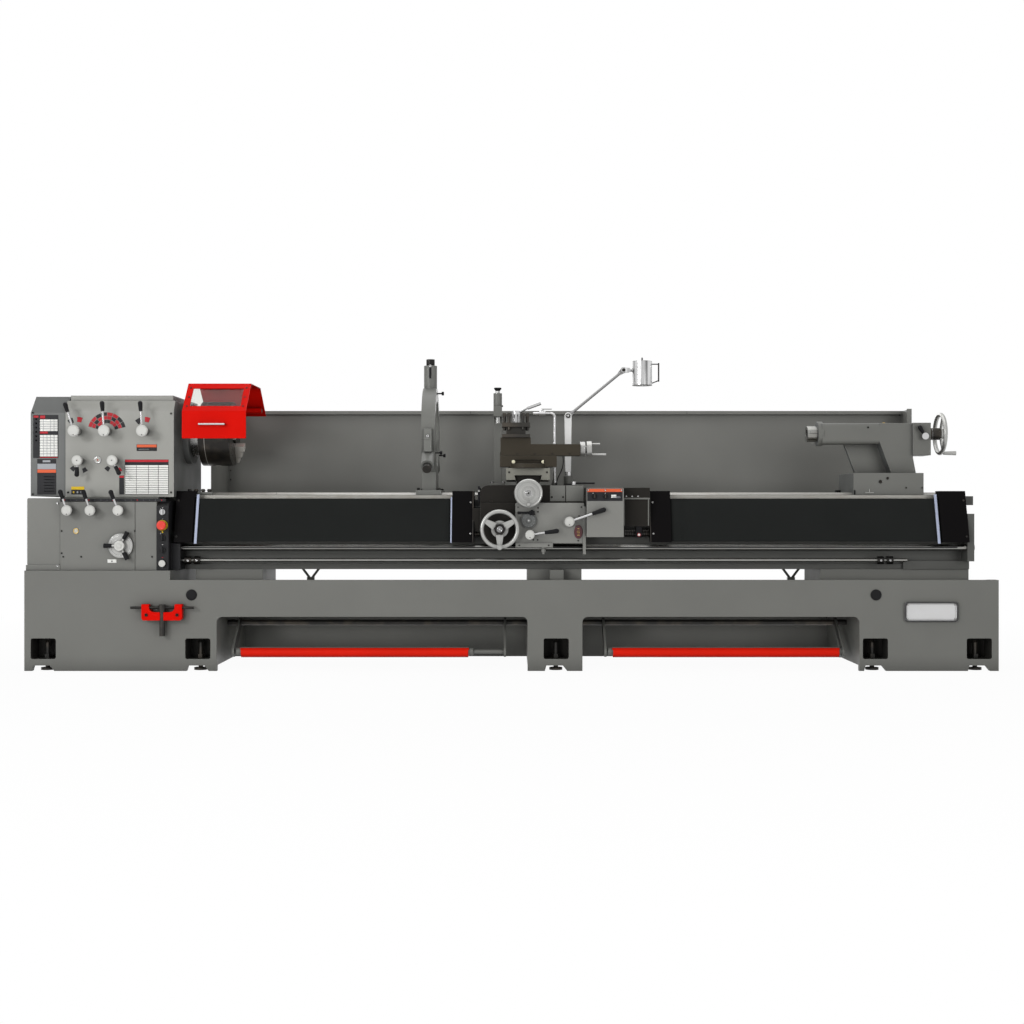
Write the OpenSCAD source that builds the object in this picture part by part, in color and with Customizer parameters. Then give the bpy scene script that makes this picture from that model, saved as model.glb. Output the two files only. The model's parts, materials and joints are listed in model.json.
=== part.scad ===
// Geared head lathe: cast base with chip tray, gap bed, geared headstock with a
// guarded chuck, carriage with cross slide and compound rest, steady rest,
// follow rest, tailstock, roll-up way covers, foot brake and rear splash guard.
// +X runs along the bed from headstock to tailstock, +Y to the rear, +Z up.
// The origin lies on the floor below the middle of the machine.

/* [Machine] */
// Length of the base along the bed
machine_len = 4970; // [4800:10:5400]
// Depth of the base from front to back
base_w = 800; // [780:5:900]
// Height of the base's front wall
base_h = 464; // [440:2:500]
// Height of the machined pads, that the bed stands on, above the front wall
pad_h = 48; // [40:1:60]
// Height of the bed casting, from its feet to the ways
bed_h = 388; // [380:2:420]
// Width over the bed ways
bed_w = 400; // [390:2:420]
// Height of the spindle over the bed ways
centre_h = 330; // [320:2:380]
// Thickness of the cast walls
wall = 30; // [22:1:36]

/* [Headstock] */
// Length of the headstock along the bed
head_len = 558; // [540:2:620]
// Height of the headstock's front panel
head_panel_h = 443; // [430:1:480]
// Radius of the spindle in its bearings
spindle_r = 85; // [75:1:95]
// Radius of the hole through the spindle
spindle_bore_r = 52; // [40:1:60]
// Radius of the chuck
chuck_r = 171; // [140:1:180]
// Length of the chuck body
chuck_len = 162; // [140:2:180]
// Radius of the white discs on the upper speed levers
knob_r = 29; // [24:1:32]

/* [Rods] */
// Radius of the leadscrew
leadscrew_r = 20; // [16:1:22]
// Radius of the feed rod
feed_rod_r = 16; // [12:1:18]
// Radius of the control rod
control_rod_r = 9.5; // [8:0.5:12]

/* [Carriage] */
// Distance of the cross slide's centre line from the middle of the machine
carriage_x = 86; // [40:1:200]
// Radius of the apron handwheel
apron_wheel_r = 90; // [80:1:100]
// Radius of the cross feed handwheel
cross_wheel_r = 73; // [60:1:75]
// Width of the square toolpost
toolpost_w = 144; // [130:1:146]

/* [Rests and tailstock] */
// Distance of the steady rest from the middle of the machine
steady_x = -435; // [-700:1:-420]
// Inner radius of the steady rest's ring
steady_r = 175; // [160:1:180]
// Radius of the tailstock quill
quill_r = 42; // [36:1:46]
// Position of the tailstock's front end
tail_x = 1638; // [1500:1:1680]

/* [Guards] */
// Thickness of the sheet metal
sheet = 3; // [2:0.5:4]
// Height of the rear splash guard's top edge
splash_top = 1400; // [1350:5:1450]

/* [Hidden] */
$fn = 48;

// Clearances: a running fit, and the air between parts that slide past
fit = 0.05;
gap = 0.3;

// Reference planes
bed_y = -80;
front = bed_y - base_w / 2;
rear = front + base_w;
end_x0 = -machine_len / 2;
end_x1 = machine_len / 2;
support_z = base_h + pad_h;
way_z = support_z + bed_h;
axis_z = way_z + centre_h;
bed_y0 = bed_y - bed_w / 2;
bed_y1 = bed_y + bed_w / 2;

// Base
pedestal_x1 = end_x0 + 743;
pedestal_z = support_z;
leg_x = [[end_x0, end_x0 + 981], [82, 362], [end_x1 - 710, end_x1]];
pocket_x = [end_x0 + 33, end_x0 + 821, 164, end_x1 - 693, end_x1 - 163];
pocket_w = 128;
pocket_d = 130;
pocket_z = [61, 166];
foot_h = 28;
arch_top = 276;
arch_r = 27;
tray_z = 300;
tray_t = 16;
tray_rear_z = base_h - 44;
support_x = [[end_x0 + 835, end_x0 + 1185], [83, 366], [end_x1 - 870, end_x1 - 95]];
screw_r = 12;

// Foot brake
brake_y = front + 300;
brake_z = 226;
brake_shaft_r = 15;
bar_y = front + 125;
bar_z = 88;
bar_r = 24;
bar_x = [[-1403, -220], [521, 1698]];
brake_arm_x = [-1440, -34, 486, 1716];

// Bed
bed_x0 = end_x0 + 189;
bed_x1 = end_x1 - 174;
rail_t = 60;
vee_h = 14;

// Headstock and its end covers
head_x0 = bed_x0;
head_x1 = head_x0 + head_len;
head_y0 = front + 70;
head_y1 = front + 733;
head_z0 = way_z - 12;
head_z1 = max(head_z0 + head_panel_h, axis_z + 101);
cover_z = head_z1 + 83;
nose_x = head_x1 + 86;
guard_x = [head_x1 + 41, head_x1 + 371];
guard_pivot_y = front + 629;
guard_pivot_z = axis_z + 141;
guard_pin_r = 10;
lever_shaft_r = 10;
gearbox_y = front + 20;
gearbox_x = [head_x0 - 12, head_x0 + 481, head_x0 + 543];

// Rods along the front of the bed
leadscrew_y = front + 172;
leadscrew_z = support_z + 188;
rod_y = front + 120;
feed_rod_z = support_z + 115;
control_rod_z = support_z + 49;
rod_x0 = gearbox_x[2] - 40;
rod_x1 = bed_x1 + 85;

// Way covers: the sheet leans, its lower edge nearer the front
curtain_z = [support_z + 148, support_z + 369];
curtain_y = [front + 64, front + 130];
curtain_t = 3;
box_z = [support_z + 143, support_z + 408];
box_d = 57;
canister_x = [[head_x1 + 1, head_x1 + 97], [bed_x1 - 97, bed_x1 + 43]];
carriage_box_x = [[carriage_x - 393, carriage_x - 288], [carriage_x + 638, carriage_x + 736]];

// Carriage
saddle_x = [carriage_x - 248, carriage_x + 292];
saddle_y = [front + 80, front + 640];
saddle_z = way_z + 50;
apron_z = way_z - 42;
apron_x = [carriage_x - 66, carriage_x + 287];
apron_y = front + 40;
cross_z = saddle_z + 26;
cross_h = 62;
cross_x = [carriage_x - 114, carriage_x + 113];
cross_y = [front + 90, front + 560];
cross_screw_z = way_z + 6;
compound_y = front + 150;
compound_z = cross_z + cross_h + gap;
top_z = compound_z + 64;
top_h = 60;
top_x = [carriage_x - 143, carriage_x + 270];
post_x = carriage_x - 63;
post_z = top_z + top_h + 34;
apron_wheel_x = carriage_x - 146;
apron_wheel_z = way_z - 177;
ebox_x = [carriage_x + 297, carriage_x + 485];
ebox_z = [way_z - 217, way_z + 33];

// Follow rest, lamp and coolant pipe on the saddle
follow_x = [carriage_x - 181, carriage_x - 139];
lamp_x = carriage_x + 225;
service_y = front + 600;
elbow_z = saddle_z + 390;
head_joint_x = lamp_x + 306;
head_joint_z = elbow_z + 252;
pipe_x = carriage_x + 151;
pipe_r = 8;
pipe_z = saddle_z + 403;

// Steady rest
steady_w = 72;
steady_ring_t = 70;
steady_split_z = axis_z - 45;
steady_hinge_y = bed_y + steady_r + 92;
finger_r = 17;
sleeve_r = 35;
sleeve_end = steady_r + 190;

// Tailstock
tail_base_x = [tail_x + 156, tail_x + 524];
tail_base_y = [bed_y0 + 15, bed_y1 - 40];
tail_base_z = way_z + 116;
barrel_h = 60;
tail_end_x = tail_x + 592;
quill_x = tail_x - 54;
tail_wheel_x = tail_end_x + 72;
tail_wheel_r = 103;
quill_lock_x = tail_end_x - 38;
quill_lock_z = axis_z - 17;

// Points of an arc about (cx, cy)
function arc(cx, cy, r, a0, a1, n = 4) =
    [for (i = [0:n]) [cx + r * cos(a0 + (a1 - a0) * i / n),
        cy + r * sin(a0 + (a1 - a0) * i / n)]];

// Outline of a rectangle with rounded corners
function round_rect(x0, y0, x1, y1, r) = concat(
    arc(x1 - r, y1 - r, r, 0, 90), arc(x0 + r, y1 - r, r, 90, 180),
    arc(x0 + r, y0 + r, r, 180, 270), arc(x1 - r, y0 + r, r, 270, 360));

// Outline of a link with round ends of radius r0 and r1, from (x0, y0) to (x1, y1)
function link_outline(x0, y0, r0, x1, y1, r1) =
    let (a = atan2(y1 - y0, x1 - x0))
    concat(arc(x1, y1, r1, a - 90, a + 90, 10), arc(x0, y0, r0, a + 90, a + 270, 10));

// A box between six planes
module box(x0, x1, y0, y1, z0, z1) {
    translate([x0, y0, z0]) cube([x1 - x0, y1 - y0, z1 - z0]);
}

// An outline in the X-Z plane, carried from y0 to y1
module along_y(y0, y1) {
    translate([0, y1, 0]) rotate([90, 0, 0]) linear_extrude(y1 - y0) children();
}

// An outline in the Y-Z plane, carried from x0 to x1
module along_x(x0, x1) {
    translate([x0, 0, 0]) rotate([90, 0, 90]) linear_extrude(x1 - x0) children();
}

// An outline in the X-Y plane, carried from z0 to z1
module along_z(z0, z1) {
    translate([0, 0, z0]) linear_extrude(z1 - z0) children();
}

// Round bars along each axis
module bar_along_x(x0, x1, y, z, r) {
    translate([x0, y, z]) rotate([0, 90, 0]) cylinder(h = x1 - x0, r = r);
}
module bar_along_y(y0, y1, x, z, r) {
    translate([x, y1, z]) rotate([90, 0, 0]) cylinder(h = y1 - y0, r = r);
}
module bar_along_z(z0, z1, x, y, r) {
    translate([x, y, z0]) cylinder(h = z1 - z0, r = r);
}

// Bar between two points of the X-Z plane at depth y
module slanted_bar(x0, z0, x1, z1, y, r) {
    translate([x0, y, z0]) rotate([0, atan2(x1 - x0, z1 - z0), 0])
        cylinder(h = norm([x1 - x0, z1 - z0]), r = r);
}

// Front outline of the base: feet, arches and the step up to the pedestal
function foot_notch(x) = [[x + 6, 0], [x + 14, foot_h], [x + 98, foot_h], [x + 120, 0]];
function arch(x0, x1) = concat([[x0, 0]], arc(x0 + arch_r, arch_top - arch_r, arch_r, 180, 90),
    arc(x1 - arch_r, arch_top - arch_r, arch_r, 90, 0), [[x1, 0]]);
function base_front_outline() = concat([[end_x0, pedestal_z], [end_x0, 0]],
    foot_notch(pocket_x[0]), foot_notch(pocket_x[1]), arch(leg_x[0][1], leg_x[1][0]),
    foot_notch(pocket_x[2]), arch(leg_x[1][1], leg_x[2][0]),
    foot_notch(pocket_x[3]), foot_notch(pocket_x[4]),
    [[end_x1, 0], [end_x1, base_h], [pedestal_x1, base_h], [pedestal_x1, pedestal_z]]);

module pocket_block(x, y0, y1) {
    box(x - 16, x + pocket_w + 16, y0, y1, foot_h, pocket_z[1] + 22);
}

module base_casting() {
    support_y = [bed_y0 - 10, bed_y1 + 10];
    block_x = [199, 270];
    color("dimgray") difference() {
        union() {
            along_y(front, front + wall) polygon(base_front_outline());
            box(end_x0, end_x1, rear - wall, rear, 0, tray_rear_z);
            box(end_x0, pedestal_x1, rear - wall, rear, tray_rear_z, pedestal_z);
            box(end_x0, end_x0 + wall, front + wall, rear - wall, foot_h, pedestal_z);
            along_x(end_x1 - wall, end_x1) polygon([[front + wall, foot_h],
                [front + wall, base_h], [front + 2 * wall, base_h], [rear - wall, tray_rear_z],
                [rear - wall, foot_h]]);
            for (x = [leg_x[0][1] - wall, leg_x[1][0], leg_x[1][1] - wall, leg_x[2][0]])
                box(x, x + wall, front + wall, rear - wall, foot_h, tray_z);
            box(pedestal_x1, end_x1 - wall, front + wall, rear - wall, tray_z - tray_t, tray_z);
            box(pedestal_x1 - wall, pedestal_x1, front + wall, rear - wall, foot_h, pedestal_z);
            box(end_x0 + wall, pedestal_x1 - wall, front + wall, rear - wall,
                pedestal_z - wall, pedestal_z);
            for (s = support_x)
                box(s[0], s[1], support_y[0], support_y[1], tray_z, support_z);
            box(block_x[0], block_x[1], front + 110, support_y[0], tray_z, support_z);
            for (x = pocket_x) {
                pocket_block(x, front + wall, front + pocket_d + 20);
                pocket_block(x, rear - pocket_d - 20, rear - wall);
            }
        }
        for (x = pocket_x) {
            along_y(front - 1, front + pocket_d)
                polygon(round_rect(x, pocket_z[0], x + pocket_w, pocket_z[1], 10));
            along_y(rear - pocket_d, rear + 1)
                polygon(round_rect(x, pocket_z[0], x + pocket_w, pocket_z[1], 10));
            for (y = [front + 75, rear - 75])
                bar_along_z(-1, pocket_z[0] + 1, x + pocket_w / 2, y, screw_r + fit);
        }
        bar_along_x(leg_x[0][1] - wall - 1, leg_x[2][0] + wall + 1,
            brake_y, brake_z, brake_shaft_r + fit);
    }
}

module leveling_screws() {
    pad_r = 34;
    nut_r = 21;
    color("darkslategray") for (x = pocket_x, y = [front + 75, rear - 75])
        translate([x + pocket_w / 2, y, 0]) {
            cylinder(h = 12, r = pad_r);
            cylinder(h = pocket_z[1] - 26, r = screw_r);
            translate([0, 0, pocket_z[0]]) cylinder(h = 20, r = nut_r, $fn = 6);
            translate([0, 0, pocket_z[1] - 26]) cylinder(h = 12, r = 14, $fn = 4);
        }
}

// Chuck key on the base's front. Its bar hangs in the slots of the bracket's two arms, and its
// shank stands in a groove in the bracket's face.
key_x = end_x0 + 712;
key_z = base_h - 135;
key_y = front - 36;
key_r = 14;
key_head_r = 18;
key_bar_r = 6.5;

module key_holder() {
    half_w = 103;
    arm_w = 38;
    low = key_z - 68;
    high = key_z + 14;
    dip = 40;
    dip_r = 26;
    corner_r = 14;
    face_y = key_y - 12;
    back_y = key_y + 24;
    color("firebrick") difference() {
        union() {
            along_y(face_y, back_y) polygon(concat(
                arc(key_x - half_w + corner_r, low + corner_r, corner_r, 180, 270),
                arc(key_x + half_w - corner_r, low + corner_r, corner_r, 270, 360),
                [[key_x + half_w, high], [key_x + half_w - arm_w, high]],
                arc(key_x + half_w - arm_w - dip_r, high - dip + dip_r, dip_r, 0, -90),
                arc(key_x - half_w + arm_w + dip_r, high - dip + dip_r, dip_r, -90, -180),
                [[key_x - half_w + arm_w, high], [key_x - half_w, high]]));
            for (s = [-1, 1])
                bar_along_y(back_y - 1, front, key_x + s * (half_w - 24), low + 26, 16);
        }
        box(key_x - half_w - 1, key_x + half_w + 1, key_y - key_bar_r - gap,
            key_y + key_bar_r + gap, key_z - 4 - key_bar_r - gap, high + 1);
        bar_along_z(low - 1, high, key_x, key_y, key_r + gap);
        bar_along_z(key_z - 24 - gap, high, key_x, key_y, key_head_r + gap);
    }
}

module chuck_key() {
    bar_half = 161;
    color("gray") {
        bar_along_z(key_z - 148, key_z + 8, key_x, key_y, key_r);
        bar_along_z(key_z - 24, key_z + 12, key_x, key_y, key_head_r);
        bar_along_x(key_x - bar_half, key_x + bar_half, key_y, key_z - 4, key_bar_r);
    }
}

module brake_treadle() {
    color("firebrick") {
        bar_along_x(leg_x[0][1] - wall + 4, leg_x[2][0] + wall - 4,
            brake_y, brake_z, brake_shaft_r);
        for (b = bar_x) {
            bar_along_x(b[0], b[1], bar_y, bar_z, bar_r);
            bar_along_x(b[0] - 22, b[0], bar_y, bar_z, bar_r - 4);
            bar_along_x(b[1], b[1] + 22, bar_y, bar_z, bar_r - 4);
        }
        bar_along_x(brake_arm_x[0], brake_arm_x[1], bar_y, bar_z, 11);
        bar_along_x(brake_arm_x[2], brake_arm_x[3], bar_y, bar_z, 11);
        for (x = brake_arm_x)
            along_x(x - 6, x + 6)
                polygon(link_outline(brake_y, brake_z, 26, bar_y, bar_z, 28));
    }
}

// Cross section of the bed's two rails, and the grooves that ride on them
function rail_front(c = 0) = [[bed_y0 - c, way_z - rail_t], [bed_y0 - c, way_z + c],
    [bed_y0 + 30 - c, way_z + c], [bed_y0 + 60, way_z + vee_h + 2 * c],
    [bed_y0 + 90 + c, way_z + c], [bed_y0 + 130 + c, way_z + c],
    [bed_y0 + 130 + c, way_z - rail_t]];
function rail_rear(c = 0) = [[bed_y1 - 120 - c, way_z - rail_t],
    [bed_y1 - 120 - c, way_z + c], [bed_y1 - 84 - c, way_z + c],
    [bed_y1 - 54, way_z + vee_h + 2 * c], [bed_y1 - 24 + c, way_z + c],
    [bed_y1 + c, way_z + c], [bed_y1 + c, way_z - rail_t]];

module way_room(x0, x1) {
    along_x(x0, x1) polygon(rail_front(gap));
    along_x(x0, x1) polygon(rail_rear(gap));
}

module bed_casting() {
    web = 30;
    flange = 28;
    rib = 26;
    rib_step = 384;
    window_z = [support_z + 90, support_z + 250];
    gap_x1 = head_x1 + 498;
    deck_x1 = bed_x0 + ceil((head_x1 - bed_x0) / rib_step) * rib_step + rib;
    color("gray") difference() {
        union() {
            along_x(bed_x0, bed_x1) polygon(rail_front());
            along_x(bed_x0, bed_x1) polygon(rail_rear());
            box(bed_x0, bed_x1, bed_y0 + 5, bed_y0 + 5 + web, support_z, way_z - rail_t);
            box(bed_x0, bed_x1, bed_y1 - 5 - web, bed_y1 - 5, support_z, way_z - rail_t);
            box(bed_x0, bed_x1, bed_y0 - 4, bed_y0 + 90, support_z, support_z + flange);
            box(bed_x0, bed_x1, bed_y1 - 90, bed_y1 + 4, support_z, support_z + flange);
            for (x = [bed_x0:rib_step:bed_x1 - rib_step / 2])
                box(x, x + rib, bed_y0 + 20, bed_y1 - 20, support_z, way_z - rail_t);
            box(bed_x1 - rib, bed_x1, bed_y0 + 20, bed_y1 - 20, support_z, way_z - 8);
            // deck that closes the bed under the headstock and the chuck
            box(bed_x0, deck_x1, bed_y0 + 130, bed_y1 - 120, way_z - rail_t, way_z - 4);
            // rack under the front rail
            box(head_x1 + 20, bed_x1 - 40, bed_y0 - 14, bed_y0 + 5,
                way_z - rail_t - 26, way_z - rail_t);
            // foot at the tail end and the bracket that carries the rods
            box(bed_x1 - 266, bed_x1 + 79, bed_y0 - 20, bed_y0 + 90,
                support_z, support_z + 44);
            box(bed_x1 + 44, bed_x1 + 79, front + 94, bed_y0 + 60,
                support_z + 44, support_z + 290);
            box(bed_x1, bed_x1 + 44, bed_y0 + 5, bed_y0 + 60, support_z + 44, way_z - rail_t);
            box(bed_x1 - 8, bed_x1 + 109, bed_y0 + 10, bed_y0 + 110, way_z - 53, way_z - 6);
        }
        for (x = [head_x1 + 8, gap_x1])
            box(x, x + 2, bed_y0 - 2, bed_y1 + 2, way_z - 3, way_z + vee_h + 1);
        for (x = [bed_x0 + 2 * rib_step:rib_step:bed_x1 - rib_step])
            along_y(bed_y1 - 5 - web - 1, bed_y1)
                polygon(round_rect(x + 90, window_z[0], x + rib_step - 60, window_z[1], 60));
        bar_along_x(bed_x1, rod_x1 + 1, leadscrew_y, leadscrew_z, leadscrew_r + fit);
        bar_along_x(bed_x1, rod_x1 + 1, rod_y, feed_rod_z, feed_rod_r + fit);
    }
}

// Lever with a white disc: a shaft in the casing, a hub, an arm and a grip.
// The angle turns the arm from straight up towards the tailstock.
module lever(x, face_y, z, disc_r, stem, arm, angle, grip) {
    tip_y = face_y - stem;
    color("silver") {
        bar_along_y(face_y - 1, face_y + 28, x, z, lever_shaft_r);
        bar_along_y(tip_y, face_y - gap, x, z, disc_r * 0.62);
        bar_along_y(tip_y - 12, tip_y, x, z, disc_r);
        translate([x, tip_y - 2, z]) rotate([0, angle, 0]) {
            cylinder(h = arm + 4, r = 5.5);
            translate([0, 0, arm]) cylinder(h = grip, r1 = 9, r2 = 12);
            translate([0, 0, arm + grip]) sphere(r = 12);
        }
    }
}

// Bore that a lever's shaft turns in
module lever_bore(x, face_y, z) {
    bar_along_y(face_y - 2, face_y + 30, x, z, lever_shaft_r + fit);
}

speed_x = [head_x0 + 67, head_x0 + 221, head_x0 + 415];
speed_z = axis_z - 5;
range_x = [head_x0 + 82, head_x0 + 260];
range_z = axis_z - 156;
feed_x = [head_x0 + 39, head_x0 + 157, head_x0 + 299];
feed_z = way_z - 81;
dial_x = head_x0 + 300;
dial_z = way_z - 261;

module headstock_casting() {
    slope_y = head_y0 + 35;
    slope_z = head_z1 + 55;
    color("darkgray") difference() {
        union() {
            along_x(head_x0, head_x1) polygon([[head_y0, head_z0], [head_y0, head_z1],
                [slope_y, slope_z], [head_y1, slope_z], [head_y1, head_z0],
                [bed_y1 + gap, head_z0], [bed_y1 + gap, way_z], [bed_y0 - gap, way_z],
                [bed_y0 - gap, head_z0]]);
            box(head_x0 + 14, head_x1 - 14, slope_y + 12, head_y1 - 24, slope_z, cover_z);
            bar_along_x(head_x1, head_x1 + 33, bed_y, axis_z, 162);
            bar_along_x(head_x1, head_x1 + 26, guard_pivot_y, guard_pivot_z, 24);
            bar_along_x(head_x1, guard_x[1] - 12, guard_pivot_y, guard_pivot_z, guard_pin_r);
        }
        way_room(head_x0 - 1, head_x1 + 1);
        bar_along_x(head_x0 - 1, head_x1 + 40, bed_y, axis_z, spindle_r + fit);
        for (x = speed_x) lever_bore(x, head_y0, speed_z);
        for (x = range_x) lever_bore(x, head_y0, range_z);
    }
}

module speed_lever_1() {
    lever(speed_x[0], head_y0, speed_z, knob_r, 80, 100, -18, 40);
}
module speed_lever_2() {
    lever(speed_x[1], head_y0, speed_z, knob_r, 80, 100, -4, 40);
}
module speed_lever_3() {
    lever(speed_x[2], head_y0, speed_z, knob_r, 80, 100, -4, 40);
}
module range_lever_1() {
    lever(range_x[0], head_y0, range_z, knob_r - 3, 70, 34, 182, 38);
}
module range_lever_2() {
    lever(range_x[1], head_y0, range_z, knob_r - 3, 70, 34, 152, 38);
}
module feed_lever_1() {
    lever(feed_x[0], gearbox_y, feed_z, knob_r - 3, 52, 62, -20, 38);
}
module feed_lever_2() {
    lever(feed_x[1], gearbox_y, feed_z, knob_r - 3, 52, 62, -20, 38);
}
module feed_lever_3() {
    lever(feed_x[2], gearbox_y, feed_z, knob_r - 3, 52, 62, -22, 38);
}

// Selector with a silver dial and three handles
module feed_dial() {
    disc_r = 62;
    color("silver") {
        bar_along_y(gearbox_y - 1, gearbox_y + 28, dial_x, dial_z, lever_shaft_r);
        bar_along_y(gearbox_y - 16, gearbox_y - gap, dial_x, dial_z, disc_r);
        bar_along_y(gearbox_y - 44, gearbox_y - 16, dial_x, dial_z, 26);
        for (a = [-90, 30, 150])
            translate([dial_x, gearbox_y - 32, dial_z]) rotate([0, a, 0]) {
                cylinder(h = 44, r = 6);
                translate([0, 0, 40]) cylinder(h = 40, r1 = 9, r2 = 12);
            }
    }
}

// Gear cover on the headstock's end: a shell hinged at its rear edge
module end_cover() {
    skin = 5;
    x0 = end_x0 + 7;
    x1 = head_x0 - gap;
    y0 = front + 78;
    y1 = front + 738;
    z0 = head_z0 + 4;
    z1 = cover_z - 2;
    hinge_x = head_x0 - 8;
    color("slategray") difference() {
        union() {
            along_x(x0, x1) polygon([[y0, z0], [y0, z1 - 90], [y0 + 90, z1], [y1, z1], [y1, z0]]);
            for (z = [z0 + 40, z1 - 120])
                bar_along_z(z, z + 60, hinge_x - 4, y1 + 6, 9);
        }
        along_x(x0 + skin, x1 + 1) polygon([[y0 + skin, z0 + skin],
            [y0 + skin, z1 - 90 - skin / 2], [y0 + 90 + skin / 2, z1 - skin],
            [y1 - skin, z1 - skin], [y1 - skin, z0 + skin]]);
    }
}

// Fixed cover over the belts below the gear cover
module belt_cover() {
    x0 = end_x0 + 7;
    x1 = gearbox_x[0] - gap;
    color("dimgray") {
        along_y(front + 24, front + 738) polygon(round_rect(x0, pedestal_z + 26,
            x1, head_z0 - 6, 8));
        box(x0 - 5, x1, front + 18, front + 742, pedestal_z, pedestal_z + 28);
    }
}

estop_x = (gearbox_x[1] + gearbox_x[2]) / 2;
estop_z = way_z - 157;
jog_z = way_z - 352;
switch_z = [way_z - 89, way_z - 220, way_z - 282];

module gearbox_casing() {
    ledge_z = head_z0 - 26;
    split_x = gearbox_x[1] - 111;
    bracket_x1 = gearbox_x[2] + 46;
    color("gray") difference() {
        union() {
            along_x(gearbox_x[0], gearbox_x[1]) polygon([[gearbox_y, pedestal_z],
                [gearbox_y, ledge_z], [head_y0 - 2, head_z0], [bed_y0 - 5, head_z0],
                [bed_y0 - 5, pedestal_z]]);
            along_x(gearbox_x[1], gearbox_x[2]) polygon([[gearbox_y - 2, pedestal_z],
                [gearbox_y - 2, ledge_z - 20], [head_y0 - 2, ledge_z + 6],
                [bed_y0 - 5, ledge_z + 6], [bed_y0 - 5, pedestal_z]]);
            // bracket for the two lower rods
            box(gearbox_x[2] - 1, bracket_x1, rod_y - 40, bed_y0 - 5, pedestal_z, box_z[0] - 6);
            for (z = switch_z) {
                bar_along_y(gearbox_y - 10, gearbox_y, estop_x, z, 15);
                box(estop_x - 4, estop_x + 4, gearbox_y - 22, gearbox_y - 8, z - 14, z + 14);
            }
            bar_along_y(gearbox_y - 16, gearbox_y, estop_x, estop_z, 27);
        }
        box(split_x, split_x + 3, gearbox_y - 1, gearbox_y + 3, pedestal_z - 1, head_z0);
        for (x = feed_x) lever_bore(x, gearbox_y, feed_z);
        lever_bore(dial_x, gearbox_y, dial_z);
        bar_along_y(gearbox_y - 20, gearbox_y + 30, estop_x, estop_z, 9 + fit);
        bar_along_y(gearbox_y - 20, gearbox_y + 30, estop_x, jog_z, 9 + fit);
        bar_along_x(rod_x0 - 2, gearbox_x[2] + 1, leadscrew_y, leadscrew_z, leadscrew_r + fit);
        bar_along_x(rod_x0 - 2, bracket_x1 + 1, rod_y, feed_rod_z, feed_rod_r + fit);
        bar_along_x(rod_x0 - 2, bracket_x1 + 1, rod_y, control_rod_z, control_rod_r + fit);
    }
}

module e_stop() {
    color("red") {
        bar_along_y(gearbox_y - 24, gearbox_y + 20, estop_x, estop_z, 9);
        bar_along_y(gearbox_y - 38, gearbox_y - 24, estop_x, estop_z, 24);
    }
}

module jog_button() {
    color("white") {
        bar_along_y(gearbox_y - 12, gearbox_y + 20, estop_x, jog_z, 9);
        bar_along_y(gearbox_y - 20, gearbox_y - 12, estop_x, jog_z, 17.5);
    }
}

module leadscrew() {
    color("silver") bar_along_x(rod_x0, rod_x1, leadscrew_y, leadscrew_z, leadscrew_r);
}

module feed_rod() {
    color("silver") bar_along_x(rod_x0, rod_x1, rod_y, feed_rod_z, feed_rod_r);
}

// Control rod with its stop collars and the bearing blocks' journals
module control_rod() {
    collars = [gearbox_x[2] + 62, gearbox_x[2] + 108, bed_x1 - 418, bed_x1 - 370];
    color("gray") {
        bar_along_x(rod_x0, bed_x1 - 262, rod_y, control_rod_z, control_rod_r);
        for (x = collars)
            bar_along_x(x, x + 34, rod_y, control_rod_z, 21);
    }
}

module spindle() {
    color("silver") difference() {
        union() {
            bar_along_x(head_x0 - 60, head_x1 + 34, bed_y, axis_z, spindle_r);
            bar_along_x(head_x1 + 33 + 1, nose_x, bed_y, axis_z, 122);
        }
        bar_along_x(head_x0 - 61, nose_x + 1, bed_y, axis_z, spindle_bore_r);
    }
}

jaw_w = 44;
jaw_slot_d = 40;

// Stepped jaw of the chuck, drawn pointing up and then turned to its slot
module jaw(angle) {
    x1 = nose_x + chuck_len;
    steps = [[x1 - jaw_slot_d, 66], [x1 - jaw_slot_d, chuck_r - 6], [x1 + 16, chuck_r - 6],
        [x1 + 16, 132], [x1 + 34, 132], [x1 + 34, 98], [x1 + 50, 98], [x1 + 50, 66]];
    color("gray") translate([0, bed_y, axis_z]) rotate([angle, 0, 0])
        along_y(-jaw_w / 2, jaw_w / 2) polygon(steps);
}

module chuck_body() {
    color("dimgray") difference() {
        bar_along_x(nose_x, nose_x + chuck_len, bed_y, axis_z, chuck_r);
        bar_along_x(nose_x - 1, nose_x + chuck_len + 1, bed_y, axis_z, spindle_bore_r);
        for (a = [90, 210, 330])
            translate([nose_x + chuck_len, bed_y, axis_z]) rotate([a, 0, 0])
                translate([-jaw_slot_d - gap, -jaw_w / 2 - gap, 40])
                cube([jaw_slot_d + 1, jaw_w + 2 * gap, chuck_r]);
    }
}

module jaw_1() { jaw(90); }
module jaw_2() { jaw(210); }
module jaw_3() { jaw(330); }

// Folded sheet over the chuck, with a clear pane in its sloped front
function guard_outline(c) = [[front + 70 + c, axis_z - 40], [front + 70 + c, axis_z + 101 - c / 2],
    [front + 226 + c / 2, axis_z + 256 - c], [front + 509 - c / 2, axis_z + 256 - c],
    [front + 691 - c, axis_z + 116 - c], [front + 691 - c, axis_z + 116]];

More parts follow.
